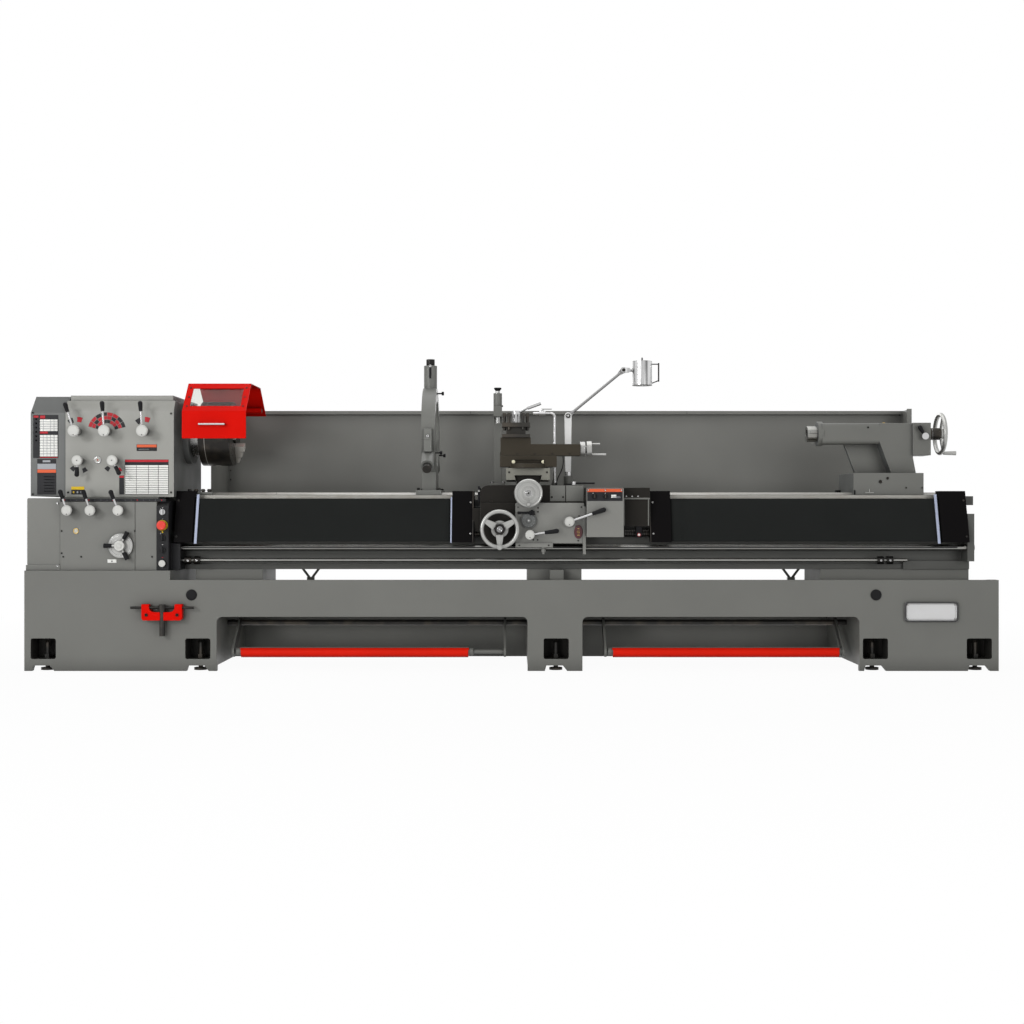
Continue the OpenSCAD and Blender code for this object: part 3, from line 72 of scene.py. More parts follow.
bpy.ops.object.select_all(action="DESELECT")


def mm(value):
    """Millimetres as metres."""
    return value * 0.001


# Camera, floor and light. The camera stands level in front of the bed, a long way off. The
# floor and the world show white to the camera, and the lamps give a plain studio level.
camera_data = bpy.data.cameras.new("camera")
camera = bpy.data.objects.new("camera", camera_data)
bpy.context.scene.collection.objects.link(camera)
camera.location = (mm(2.5), mm(-7980), mm(811))
camera.rotation_euler = (math.radians(90), 0, 0)
camera_data.lens = 51.7
camera_data.sensor_width = 36
bpy.context.scene.camera = camera
bpy.context.scene.view_settings.view_transform = "Standard"


def shade(tree, kind, inputs=None, **settings):
    """A shader node with its settings. An input that is a socket is linked, others are values."""
    node = tree.nodes.new("ShaderNode" + kind)
    for name, value in settings.items():
        setattr(node, name, value)
    for key, value in (inputs or {}).items():
        if isinstance(value, bpy.types.NodeSocket):
            tree.links.new(value, node.inputs[key])
        else:
            node.inputs[key].default_value = value
    return node


def shows_background(tree):
    """1 for rays from the camera, off gloss and through glass, and 0 for the plain light."""
    path = shade(tree, "LightPath")
    gloss = shade(tree, "Math", {0: path.outputs["Is Camera Ray"],
        1: path.outputs["Is Glossy Ray"]}, operation="MAXIMUM")
    return shade(tree, "Math", {0: gloss.outputs[0],
        1: path.outputs["Is Transmission Ray"]}, operation="MAXIMUM").outputs[0]


world = bpy.data.worlds.new("studio")
bpy.context.scene.world = world
world.use_nodes = True
world.node_tree.nodes.clear()
ambient = shade(world.node_tree, "Background", {"Color": (1, 1, 1, 1), "Strength": 0.27})
backdrop = shade(world.node_tree, "Background", {"Color": (1, 1, 1, 1), "Strength": 1.0})
world_mix = shade(world.node_tree, "MixShader", {0: shows_background(world.node_tree),
    1: ambient.outputs[0], 2: backdrop.outputs[0]})
shade(world.node_tree, "OutputWorld", {"Surface": world_mix.outputs[0]})

floor_material = bpy.data.materials.new("studio_floor")
floor_material.use_nodes = True
floor_tree = floor_material.node_tree
floor_tree.nodes.clear()
floor_matt = shade(floor_tree, "BsdfDiffuse", {"Color": (0.8, 0.8, 0.8, 1)})
floor_glow = shade(floor_tree, "Emission", {"Color": (1, 1, 1, 1), "Strength": 1.0})
floor_place = shade(floor_tree, "TexCoord").outputs["Object"]
floor_reach = shade(floor_tree, "VectorMath", {0: floor_place}, operation="LENGTH")
floor_far = shade(floor_tree, "MapRange", {"Value": floor_reach.outputs["Value"],
    "From Min": 2.4, "From Max": 5.0, "To Min": 0.96, "To Max": 1.0})
floor_share = shade(floor_tree, "Math", {0: shows_background(floor_tree),
    1: floor_far.outputs["Result"]}, operation="MULTIPLY")
floor_mix = shade(floor_tree, "MixShader", {0: floor_share.outputs[0],
    1: floor_matt.outputs[0], 2: floor_glow.outputs[0]})
shade(floor_tree, "OutputMaterial", {"Surface": floor_mix.outputs[0]})
bpy.ops.mesh.primitive_plane_add(size=80, location=(0, 0, 0))
floor = bpy.context.object
floor.name = "studio_floor"
floor.data.materials.append(floor_material)

for lamp_name, place, power, width, mirrored in (("key", (-5.2, -6.4, 2.9), 175, 1.8, True),
        ("fill", (4.8, -7.4, 1.6), 170, 3.0, False), ("low", (-3.0, -8.2, 0.45), 300, 2.0, False),
        ("top", (0.0, 0.2, 5.2), 110, 5.0, True), ("back", (0.0, 6.0, 3.6), 90, 4.0, True)):
    lamp_data = bpy.data.lights.new(lamp_name, "AREA")
    lamp_data.energy = power
    lamp_data.size = width
    lamp = bpy.data.objects.new(lamp_name, lamp_data)
    bpy.context.scene.collection.objects.link(lamp)
    lamp.location = place
    lamp.visible_glossy = mirrored
    aim = Vector((0, 0, 0.8)) - lamp.location
    lamp.rotation_euler = aim.to_track_quat("-Z", "Y").to_euler()


# Base. One long cast and welded box on feet, sprayed in grey machine enamel. It shows a faint
# orange peel, edges that are a little rounded and pale, partly rubbed and partly a painted
# highlight, and painted shade darkening its corners.
def node_group(name, inputs, outputs):
    """A shader node group with named sockets, and its tree, input and output nodes."""
    group = bpy.data.node_groups.new(name, "ShaderNodeTree")
    for socket_name, kind, value in inputs:
        socket = group.interface.new_socket(socket_name, in_out="INPUT",
            socket_type="NodeSocket" + kind)
        socket.default_value = value
    for socket_name, kind in outputs:
        group.interface.new_socket(socket_name, in_out="OUTPUT",
            socket_type="NodeSocket" + kind)
    return group, group.nodes.new("NodeGroupInput"), group.nodes.new("NodeGroupOutput")


def scaled_noise(tree, coords, scale, detail, low, high):
    """Noise on object coordinates, brought to the range from low to high."""
    noise = shade(tree, "TexNoise", {"Vector": coords, "Scale": scale, "Detail": detail})
    spread = shade(tree, "MapRange", {"Value": noise.outputs["Fac"], "From Min": 0.3,
        "From Max": 0.7, "To Min": low, "To Max": high})
    return spread.outputs["Result"]


def edge_and_corner(tree, radius, depth):
    """The eased normal, a mask along outer edges, and the openness of corners."""
    eased = shade(tree, "Bevel", {"Radius": radius}, samples=4)
    flat = shade(tree, "NewGeometry")
    turned = shade(tree, "VectorMath", {0: eased.outputs[0], 1: flat.outputs["Normal"]},
        operation="DOT_PRODUCT")
    edge = shade(tree, "MapRange", {"Value": turned.outputs["Value"], "From Min": 0.99,
        "From Max": 0.86})
    open_air = shade(tree, "AmbientOcclusion", {"Distance": depth}, samples=4)
    return eased.outputs[0], edge.outputs["Result"], open_air.outputs["AO"]


ENAMEL, taken, given = node_group("machine_enamel",
    (("Paint", "Color", (0.18, 0.18, 0.17, 1)), ("Rubbed and lit edge", "Color", (0.4, 0.4, 0.38, 1)),
        ("Rubbing and edge light", "Float", 0.5), ("Roughness", "Float", 0.42), ("Peel", "Float", 0.08)),
    (("Color", "Color"), ("Roughness", "Float"), ("Normal", "Vector")))
place = shade(ENAMEL, "TexCoord").outputs["Object"]
eased_normal, edge_mask, open_corner = edge_and_corner(ENAMEL, mm(5), mm(90))
tone = scaled_noise(ENAMEL, place, 2.3, 5, 0.95, 1.05)
# Painted shade: the paint darkens where ambient occlusion finds its corners closed in.
painted_corner_shade = shade(ENAMEL, "MapRange", {"Value": open_corner, "From Min": 0.25,
    "From Max": 0.95, "To Min": 0.4, "To Max": 1.0})
tone_and_painted_shade = shade(ENAMEL, "Math", {0: tone, 1: painted_corner_shade.outputs["Result"]}, operation="MULTIPLY")
body_color = shade(ENAMEL, "VectorMath", {0: taken.outputs["Paint"], "Scale": tone_and_painted_shade.outputs[0]},
    operation="SCALE")
# Pale outer edges: partly rubbed paint, partly a painted highlight where light catches the rounded
# corners.
patchy = scaled_noise(ENAMEL, place, 34, 4, 0.15, 1.0)
rub_and_edge_light = shade(ENAMEL, "Math", {0: edge_mask, 1: patchy}, operation="MULTIPLY")
rub_and_edge_light_share = shade(ENAMEL, "Math", {0: rub_and_edge_light.outputs[0], 1: taken.outputs["Rubbing and edge light"]},
    operation="MULTIPLY", use_clamp=True)
worn_and_lit_edge_color = shade(ENAMEL, "Mix", {0: rub_and_edge_light_share.outputs[0], 6: body_color.outputs[0],
    7: taken.outputs["Rubbed and lit edge"]}, data_type="RGBA")
smudge = scaled_noise(ENAMEL, place, 6, 6, -0.05, 0.07)
dry = shade(ENAMEL, "Math", {0: smudge, 1: taken.outputs["Roughness"]}, operation="ADD")
peel = shade(ENAMEL, "TexNoise", {"Vector": place, "Scale": 240, "Detail": 2})
relief = shade(ENAMEL, "Bump", {"Strength": taken.outputs["Peel"], "Distance": mm(1),
    "Height": peel.outputs["Fac"], "Normal": eased_normal})
ENAMEL.links.new(worn_and_lit_edge_color.outputs[2], given.inputs["Color"])
ENAMEL.links.new(dry.outputs[0], given.inputs["Roughness"])
ENAMEL.links.new(relief.outputs[0], given.inputs["Normal"])


def new_material(name):
    """An empty material, its tree and its shader, which is already on the output."""
    material = bpy.data.materials.new(name)
    material.use_nodes = True
    material.node_tree.nodes.clear()
    shader = shade(material.node_tree, "BsdfPrincipled")
    shade(material.node_tree, "OutputMaterial", {"Surface": shader.outputs[0]})
    return material, material.node_tree, shader


def put_on(tree, shader, group, values):
    """Places a finish group in a material with its own values, and joins its outputs up."""
    finish = tree.nodes.new("ShaderNodeGroup")
    finish.node_tree = group
    for key, value in values.items():
        finish.inputs[key].default_value = value
    for output in finish.outputs:
        key = "Base Color" if output.name == "Color" else output.name
        tree.links.new(output, shader.inputs[key])
    return finish


def enamel(name, paint, edge, rubbing_and_edge_light=0.5, roughness=0.42, peel=0.08, shine=0.5):
    """Sprayed enamel in one colour. Shine is how strongly it reflects, 0.5 as paint does."""
    material, tree, shader = new_material(name)
    shader.inputs["Specular IOR Level"].default_value = shine
    shader.inputs["Coat Weight"].default_value = 0.08 if shine > 0.4 else 0
    shader.inputs["Coat Roughness"].default_value = 0.25
    put_on(tree, shader, ENAMEL, {"Paint": (*paint, 1), "Rubbed and lit edge": (*edge, 1),
        "Rubbing and edge light": rubbing_and_edge_light, "Roughness": roughness, "Peel": peel})
    return material


def cover(node, material):
    """Gives a CAD node that keeps its mesh its one finish."""
    nodes[node].data.materials.clear()
    nodes[node].data.materials.append(material)


GREY_ENAMEL = enamel("grey_enamel", (0.138, 0.139, 0.128), (0.26, 0.26, 0.24), shine=0.35)
# Near-black enamel for the insides of the levelling pockets: painted shade in those recesses.
POCKET_SHADE = enamel("pocket_painted_shade", (0.035, 0.034, 0.031), (0.1, 0.1, 0.09), 0.3, 0.5, 0.2, 0.1)


# Metals. Ground and turned steel shows fine tool marks along one direction, a slight brown
# stain where hands and oil have been, and shade in its corners. On the lamp shade the same stain
# pattern, drawn out upright in grey, is painted reflection.
METAL, taken, given = node_group("machined_steel",
    (("Metal", "Color", (0.55, 0.55, 0.53, 1)), ("Stain and reflection color", "Color", (0.2, 0.16, 0.12, 1)),
        ("Stain and reflection amount", "Float", 0.25), ("Spread", "Vector", (14.0, 14.0, 14.0)),
        ("Roughness", "Float", 0.3), ("Marks", "Vector", (6.0, 300.0, 300.0)),
        ("Mark depth", "Float", 0.12)),
    (("Color", "Color"), ("Roughness", "Float"), ("Normal", "Vector")))
place = shade(METAL, "TexCoord").outputs["Object"]
open_corner = shade(METAL, "AmbientOcclusion", {"Distance": mm(40)}, samples=4).outputs["AO"]
drawn = shade(METAL, "VectorMath", {0: place, 1: taken.outputs["Marks"]},
    operation="MULTIPLY")
marks = shade(METAL, "TexNoise", {"Vector": drawn.outputs[0], "Scale": 1.0, "Detail": 4})
spread = shade(METAL, "VectorMath", {0: place, 1: taken.outputs["Spread"]},
    operation="MULTIPLY")
stain_and_reflection_spots = scaled_noise(METAL, spread.outputs[0], 1, 6, -0.6, 1.0)
stain_and_reflection_share = shade(METAL, "Math", {0: stain_and_reflection_spots, 1: taken.outputs["Stain and reflection amount"]},
    operation="MULTIPLY", use_clamp=True)
steel_color = shade(METAL, "Mix", {0: stain_and_reflection_share.outputs[0], 6: taken.outputs["Metal"],
    7: taken.outputs["Stain and reflection color"]}, data_type="RGBA")
shadow = shade(METAL, "MapRange", {"Value": open_corner, "From Min": 0.2, "From Max": 0.95,
    "To Min": 0.45, "To Max": 1.0})
dark_corner = shade(METAL, "VectorMath", {0: steel_color.outputs[2],
    "Scale": shadow.outputs["Result"]}, operation="SCALE")
streak = shade(METAL, "MapRange", {"Value": marks.outputs["Fac"], "From Min": 0.3,
    "From Max": 0.7, "To Min": -0.06, "To Max": 0.08})
dry = shade(METAL, "Math", {0: streak.outputs["Result"], 1: taken.outputs["Roughness"]},
    operation="ADD")
relief = shade(METAL, "Bump", {"Strength": taken.outputs["Mark depth"], "Distance": mm(0.3),
    "Height": marks.outputs["Fac"]})
METAL.links.new(dark_corner.outputs[0], given.inputs["Color"])
METAL.links.new(dry.outputs[0], given.inputs["Roughness"])
METAL.links.new(relief.outputs[0], given.inputs["Normal"])


def metal(name, color, roughness, marks, stain_and_reflection_amount=0.25, depth=0.12, metallic=1.0,
        spread=(14, 14, 14), stain_and_reflection_color=(0.2, 0.16, 0.12)):
    """A bare or plated metal, with its tool marks drawn out along one axis. Spread is how
    often its stains come along each axis, in a metre; on the lamp shade they are upright bands of
    painted reflection."""
    material, tree, shader = new_material(name)
    shader.inputs["Metallic"].default_value = metallic
    put_on(tree, shader, METAL, {"Metal": (*color, 1), "Stain and reflection color": (*stain_and_reflection_color, 1), "Roughness": roughness,
        "Marks": marks, "Stain and reflection amount": stain_and_reflection_amount, "Spread": spread, "Mark depth": depth})
    return material


# Details of the base. Levelling screws stand in their pockets on dark pads, two black plugs
# close the lifting holes, and four pins hold a bare silver plate at the right.
DARK_STEEL = metal("dark_steel", (0.035, 0.034, 0.032), 0.42, (40, 40, 40), metallic=0.8)
BRIGHT_STEEL = metal("bright_steel", (0.45, 0.45, 0.44), 0.24, (200, 8, 200))
cover("leveling_screws", DARK_STEEL)


def pick(piece):
    """Makes one piece the only one selected, and the active one."""
    bpy.ops.object.select_all(action="DESELECT")
    piece.select_set(True)
    bpy.context.view_layer.objects.active = piece


def edit_all(piece):
    """Goes into edit mode on one piece, with all of it selected."""
    pick(piece)
    bpy.ops.object.mode_set(mode="EDIT")
    bpy.ops.mesh.select_all(action="SELECT")


def ease_edges(piece, width, angle=35):
    """Rounds a piece's edges with a bevel, smooths it, and puts its place into its mesh."""
    bpy.ops.object.mode_set(mode="OBJECT")
    pick(piece)
    bpy.ops.object.transform_apply(location=True, rotation=True, scale=True)
    bevel = piece.modifiers.new("eased", "BEVEL")
    bevel.width = width
    bevel.segments = 2
    bevel.limit_method = "ANGLE"
    bevel.angle_limit = math.radians(angle)
    bpy.ops.object.modifier_apply(modifier=bevel.name)
    bpy.ops.object.shade_smooth_by_angle(angle=math.radians(angle))
    flat = piece.modifiers.new("flat_faces", "WEIGHTED_NORMAL")
    flat.keep_sharp = True
    bpy.ops.object.modifier_apply(modifier=flat.name)


def joined(name, parts):
    """Several parts as one piece."""
    bpy.ops.object.select_all(action="DESELECT")
    for part in parts:
        part.select_set(True)
    bpy.context.view_layer.objects.active = parts[0]
    if len(parts) > 1:
        bpy.ops.object.join()
    piece = bpy.context.view_layer.objects.active
    piece.name = name
    bpy.ops.object.transform_apply(location=True, rotation=True, scale=True)
    bpy.ops.object.select_all(action="DESELECT")
    return piece


def fixed_to(piece, body):
    """Lets a piece ride on a body."""
    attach(piece, body)
    return piece


def trim(name, parts, body):
    """Small parts joined as one piece that rides on a body."""
    return fixed_to(joined(name, parts), body)


def block(low, high, material, ease=0.0008, corner=0, along="y"):
    """A rectangular part between two corners in millimetres. Its edges along one axis can be
    rounded to a larger radius first, and then all its edges are eased."""
    size = [mm(b - a) for a, b in zip(low, high)]
    middle = [mm((a + b) / 2) for a, b in zip(low, high)]
    bpy.ops.mesh.primitive_cube_add(size=1, location=middle)
    part = bpy.context.object
    part.scale = size
    bpy.ops.object.transform_apply(location=True, rotation=True, scale=True)
    if corner:
        number = "xyz".index(along)
        for edge in part.data.edges:
            first, second = (part.data.vertices[i].co for i in edge.vertices)
            edge.select = abs(first[number] - second[number]) > size[number] / 2
        bpy.ops.object.mode_set(mode="EDIT")
        bpy.ops.mesh.select_mode(type="EDGE")
        bpy.ops.mesh.bevel(offset=mm(corner), segments=5)
    ease_edges(part, min(ease, min(size) * 0.3))
    part.data.materials.append(material)
    return part


# How a round part, made standing up, is turned to lie along each axis
AXIS_TURN = {"x": (0, math.pi / 2, 0), "y": (math.pi / 2, 0, 0), "z": (0, 0, 0)}


def disc(middle, radius, length, axis, material, ease=0.001, sides=32):
    """A round part about a middle point in millimetres, lying along X, Y or Z."""
    bpy.ops.mesh.primitive_cylinder_add(vertices=sides, radius=mm(radius), depth=mm(length),
        location=[mm(v) for v in middle], rotation=AXIS_TURN[axis])
    part = bpy.context.object
    ease_edges(part, min(ease, mm(length) * 0.3), angle=50 if sides > 8 else 35)
    part.data.materials.append(material)
    return part


def screw(middle, radius, length, axis, material, hollow=0.55):
    """A socket screw's head: a short round head with a six-sided socket sunk in both ends."""
    part = disc(middle, radius, length, axis, material, ease=mm(radius) * 0.12, sides=24)
    number = "xyz".index(axis)
    edit_all(part)
    bpy.ops.mesh.select_all(action="DESELECT")
    bpy.ops.mesh.select_mode(type="FACE")
    bpy.ops.object.mode_set(mode="OBJECT")
    for face in part.data.polygons:
        face.select = abs(face.normal[number]) > 0.99
    bpy.ops.object.mode_set(mode="EDIT")
    bpy.ops.mesh.inset(thickness=mm(radius) * (1 - hollow), depth=0)
    bpy.ops.mesh.inset(thickness=mm(radius) * 0.05, depth=-mm(length) * 0.35)
    bpy.ops.object.mode_set(mode="OBJECT")
    return part


def hex_bolt(middle, across, length, axis, material):
    """A six-sided bolt head on a thin washer, with its corners turned off."""
    head = disc(middle, across / 2, length, axis, material, ease=mm(across) * 0.06, sides=6)
    washer = disc(middle, across * 0.62, length * 0.3, axis, material, ease=0.0004, sides=24)
    return joined("bolt", [head, washer])


Corner = collections.namedtuple("Corner", "x y z")


def box_mm(node):
    """A CAD node's lowest and highest corners in millimetres, in full precision."""
    return [Corner(*(value * 1000 for value in corner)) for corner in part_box(node)]


base_low, base_high = box_mm("base_casting")
base_front = base_low.y
base_end = base_high.x
BLACK_PLASTIC = enamel("black_plastic", (0.01, 0.01, 0.011), (0.04, 0.04, 0.04), 0.2, 0.5, 0.2,
    0.12)
plugs = []
for plug_x in (base_low.x + 853, base_end - 626):
    plugs.append(disc((plug_x, base_front - 1, 388), 28, 6, "y", BLACK_PLASTIC, ease=mm(1.8)))
    plugs.append(disc((plug_x, base_front - 3, 388), 22, 5, "y", BLACK_PLASTIC, ease=mm(1.2)))
trim("base_plugs", plugs, "root")

SILVER_PLATE = metal("silver_plate", (0.6, 0.6, 0.6), 0.38, (12, 300, 300), 0.06, 0.05, 0.85)
plate = block((base_end - 482, base_front - 5, 251), (base_end - 209, base_front + 1, 353),
    SILVER_PLATE, corner=14)
plate_field = block((base_end - 475, base_front - 6.5, 258),
    (base_end - 216, base_front - 4, 346), SILVER_PLATE, corner=9)
pins = [disc((x, base_front - 7, z), 4, 4, "y", BRIGHT_STEEL, ease=mm(0.8), sides=16)
    for x in (base_end - 466, base_end - 225) for z in (267, 337)]
trim("bare_plate", [plate, plate_field] + pins, "root")


def finished_copy(node, name, finishes, choose=None, ease=0.0012):
    """Stands for a CAD node: a copy of its mesh with the corners merged and eased. Where it has
    several finishes, a face's middle in millimetres and its normal choose its own."""
    piece = bpy.data.objects.new(name, nodes[node].data.copy())
    bpy.context.scene.collection.objects.link(piece)
    piece.data.materials.clear()
    for material in finishes:
        piece.data.materials.append(material)
    edit_all(piece)
    bpy.ops.mesh.customdata_custom_splitnormals_clear()
    bpy.ops.mesh.remove_doubles(threshold=0.00002)
    bpy.ops.mesh.dissolve_limited(angle_limit=math.radians(1), delimit={"NORMAL"})
    bpy.ops.object.mode_set(mode="OBJECT")
    if ease:
        ease_edges(piece, ease)
    else:
        bpy.ops.object.shade_smooth_by_angle(angle=math.radians(35))
    for face in piece.data.polygons:
        face.material_index = choose(face.center * 1000, face.normal) if choose else 0
    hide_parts(node)
    fixed_to(piece, nodes[node]["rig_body"])


def base_face(middle, normal):
    """Near-black enamel inside the levelling pockets as painted shade, grey all over the rest."""
    in_front = base_front + 1.5 < middle.y < base_front + 132
    in_height = 60 < middle.z < 167
    across = [middle.x - (base_low.x + offset) for offset in (33, 821)]
    across += [middle.x - 164, middle.x - (base_end - 693), middle.x - (base_end - 163)]
    return 1 if in_front and in_height and any(-1 < x < 129 for x in across) else 0


finished_copy("base_casting", "base_enamelled", [GREY_ENAMEL, POCKET_SHADE],
    base_face, ease=0)


# Chuck key holder. A red cast bracket screwed to the base front. The chuck key hangs in its
# mouth: a turned steel shank with a square end, and a sliding bar through its head.
RED_ENAMEL = enamel("red_enamel", (0.57, 0.004, 0.001), (0.45, 0.04, 0.03), 0.3, 0.36, 0.12, 0.05)
BLACK_OXIDE = metal("black_oxide_steel", (0.024, 0.023, 0.022), 0.38, (60, 60, 60), 0.1, 0.1, 0.9)
holder_low, holder_high = box_mm("key_holder")
holder_front = holder_low.y
finished_copy("key_holder", "key_holder_casting", [RED_ENAMEL], ease=0.002)
holder_screws = [screw((x, holder_front - 1, holder_low.z + 28), 8, 8, "y", BLACK_OXIDE)
    for x in (holder_low.x + 25, holder_high.x - 25)]
trim("key_holder_screws", holder_screws, "root")
key_low, key_high = box_mm("chuck_key")
key_axis_x = (key_low.x + key_high.x) / 2
finished_copy("chuck_key", "chuck_key_turned", [DARK_STEEL, BLACK_OXIDE],
    lambda middle, normal: 1 if abs(middle.x - key_axis_x) > 19 else 0)


# Foot brake. Two red knurled treadle bars run between grey arms on a dark cross shaft, each
# arm clamped by a collar. The bars are gripped by a diamond knurl rolled into their skin.
RED_TREADLE = enamel("red_treadle", (0.68, 0.013, 0.004), (0.8, 0.07, 0.04), 0.6, 0.4, 0.1, 0.08)
brake_low = box_mm("brake_treadle")[0]
bar_middle_y = brake_low.y + 24
bar_middle_z = brake_low.z + 24


def brake_face(middle, normal):
    """Red on the bars, grey on the arms, and dark steel on the shaft behind."""
    off_bar = math.hypot(middle.y - bar_middle_y, middle.z - bar_middle_z)
    between_arms = -1404 < middle.x < -219 or 520 < middle.x < 1699
    if between_arms and 22.5 < off_bar < 25.5 and abs(normal.x) < 0.5:
        return 0
    return 2 if middle.y > bar_middle_y + 110 else 1


finished_copy("brake_treadle", "brake_treadle_bars",
    [RED_TREADLE, GREY_ENAMEL, DARK_STEEL], brake_face, ease=0)
sleeve_radius, knurl_pitch, knurl_starts, knurl_depth = 25.2, 12, 14, 0.035
knurls = []
for bar_x0, bar_x1 in ((-1399, -224), (525, 1694)):
    bpy.ops.mesh.primitive_cylinder_add(vertices=70, radius=mm(sleeve_radius),
        depth=mm(bar_x1 - bar_x0),
        location=(mm(bar_x0 + bar_x1) / 2, mm(bar_middle_y), mm(bar_middle_z)),
        rotation=(0, math.pi / 2, 0))
    sleeve = bpy.context.object
    bpy.ops.object.transform_apply(location=True, rotation=True, scale=True)
    for cuts in (97, 3):
        edit_all(sleeve)
        bpy.ops.mesh.select_mode(type="EDGE")
        bpy.ops.mesh.select_all(action="DESELECT")
        bpy.ops.object.mode_set(mode="OBJECT")
        for edge in sleeve.data.edges:
            first, second = (sleeve.data.vertices[i].co for i in edge.vertices)
            edge.select = abs(first.x - second.x) > mm(knurl_pitch / 2)
        bpy.ops.object.mode_set(mode="EDIT")
        bpy.ops.mesh.subdivide(number_cuts=cuts)
        bpy.ops.object.mode_set(mode="OBJECT")
    for corner in sleeve.data.vertices:
        y = corner.co.y - mm(bar_middle_y)
        z = corner.co.z - mm(bar_middle_z)
        turns = math.atan2(z, y) / (2 * math.pi) * knurl_starts
        along = corner.co.x / mm(knurl_pitch)
        crossing = math.sin(math.pi * (along + turns)) * math.sin(math.pi * (along - turns))
        grip = 1 + knurl_depth * abs(crossing)
        corner.co.y = mm(bar_middle_y) + y * grip
        corner.co.z = mm(bar_middle_z) + z * grip
    sleeve.data.materials.append(RED_TREADLE)
    knurls.append(sleeve)
trim("brake_bar_knurls", knurls, "brake_treadle")


# Bed. A ribbed iron casting in grey enamel, painted darker than the base as painted shade under the
# ways and rods, with its ways ground bright on top and along their front edge, and a steel rack
# below the front way.
BED_SHADED_ENAMEL = enamel("bed_enamel_painted_shade", (0.082, 0.083, 0.077), (0.22, 0.22, 0.21), shine=0.3)
GROUND_WAY = metal("ground_way", (0.34, 0.33, 0.3), 0.26, (3, 240, 240), 0.25, 0.1, 0.35)
bed_low, bed_high = box_mm("bed_casting")
way_top = bed_high.z


def bed_face(middle, normal):
    """Bright on the ways and their front edge, grey below them."""
    on_top = middle.z > way_top - 18 and normal.z > 0.2
    on_edge = middle.z > way_top - 30 and abs(normal.y) > 0.7
    return 1 if on_top or on_edge else 0


finished_copy("bed_casting", "bed_with_ways", [BED_SHADED_ENAMEL, GROUND_WAY],
    bed_face, ease=0)
way_edge = block((bed_low.x + 560, -280.2, way_top - 40), (bed_high.x - 110,
    -278, way_top - 15), GROUND_WAY, ease=0.0001)
fixed_to(way_edge, "root").name = "ground_way_edge"


# Headstock. A tall iron casting, machined and enamelled a lighter grey in front and darker on
# its chuck side. Its face carries printed plates, speed fans, an oil sight glass and screws.
LIGHT_ENAMEL = enamel("light_grey_enamel", (0.262, 0.262, 0.242), (0.38, 0.38, 0.35), 0.4, 0.4,
    0.06, 0.35)
DEEP_ENAMEL = enamel("deep_grey_enamel", (0.118, 0.122, 0.119), (0.26, 0.26, 0.25), shine=0.35)
head_low = box_mm("headstock_casting")[0]
head_front = head_low.y
head_x0 = head_low.x


def headstock_face(middle, normal):
    """Light on the front panel, slope and left side, deep grey on the chuck side."""
    return 1 if normal.x > 0.6 or middle.x > head_x0 + 560 else 0


finished_copy("headstock_casting", "headstock_finished",
    [LIGHT_ENAMEL, DEEP_ENAMEL], headstock_face, ease=0.002)


def print_ink(name, color, roughness=0.45):
    """Flat print on an anodised plate, a little uneven from wear."""
    return enamel(name, color, color, 0.0, roughness, 0.05, 0.2)


INK_BLACK = print_ink("black_print", (0.016, 0.016, 0.018))
INK_WHITE = print_ink("white_print", (0.75, 0.75, 0.72))
INK_RED = print_ink("red_print", (0.42, 0.02, 0.03))
INK_ORANGE = print_ink("orange_print", (0.62, 0.11, 0.045))
INK_YELLOW = print_ink("yellow_print", (0.62, 0.42, 0.02))
INK_GREY = print_ink("grey_print", (0.32, 0.33, 0.35))
INK_DIM = print_ink("dim_print", (0.07, 0.07, 0.075))


def fields(face_y, rows, lift=0.5):
    """Thin flat fields on a front face, each from its left, right, low and high in
    millimetres, with its ink. A later field lies a little proud of an earlier one."""
    parts = []
    for number, (x0, x1, z0, z1, ink) in enumerate(rows):
        proud = lift * (1 + 0.25 * min(number, 3))
        parts.append(block((x0, face_y - proud, z0), (x1, face_y + 0.2, z1), ink, ease=0.0002))
    return parts


def ruled(face_y, x0, x1, z0, z1, columns, row_count, ink, thick=1.5):
    """The ruled lines of a table: its column lines at shares of the width, and even rows."""
    lines = [(x0 + (x1 - x0) * share - thick / 2, x0 + (x1 - x0) * share + thick / 2, z0, z1, ink)
        for share in columns]
    step = (z1 - z0) / row_count
    lines += [(x0, x1, z0 + step * n - thick / 2, z0 + step * n + thick / 2, ink)
        for n in range(1, row_count)]
    return fields(face_y, lines, lift=1.1)


def fan_field(center_x, center_z, r0, r1, a0, a1, face_y, ink, lift=0.7):
    """A field shaped like part of a ring: a small upright face spun about the knob."""
    middle = (r0 + r1) / 2
    start = math.radians(a0)
    bpy.ops.mesh.primitive_plane_add(size=1, location=(mm(center_x + middle), mm(face_y),
        mm(center_z)))
    part = bpy.context.object
    part.scale = (mm(r1 - r0), mm(lift * 2), 1)
    bpy.ops.object.transform_apply(location=True, rotation=True, scale=True)
    edit_all(part)
    pivot = (mm(center_x), mm(face_y), mm(center_z))
    bpy.ops.transform.rotate(value=start, orient_axis="Y", center_override=pivot)
    bpy.ops.mesh.spin(steps=max(2, round((a1 - a0) / 9)), angle=math.radians(a1 - a0),
        center=pivot, axis=(0, 1, 0))
    bpy.ops.mesh.select_all(action="SELECT")
    bpy.ops.mesh.normals_make_consistent(inside=False)
    bpy.ops.object.mode_set(mode="OBJECT")
    part.data.materials.append(ink)
    return part


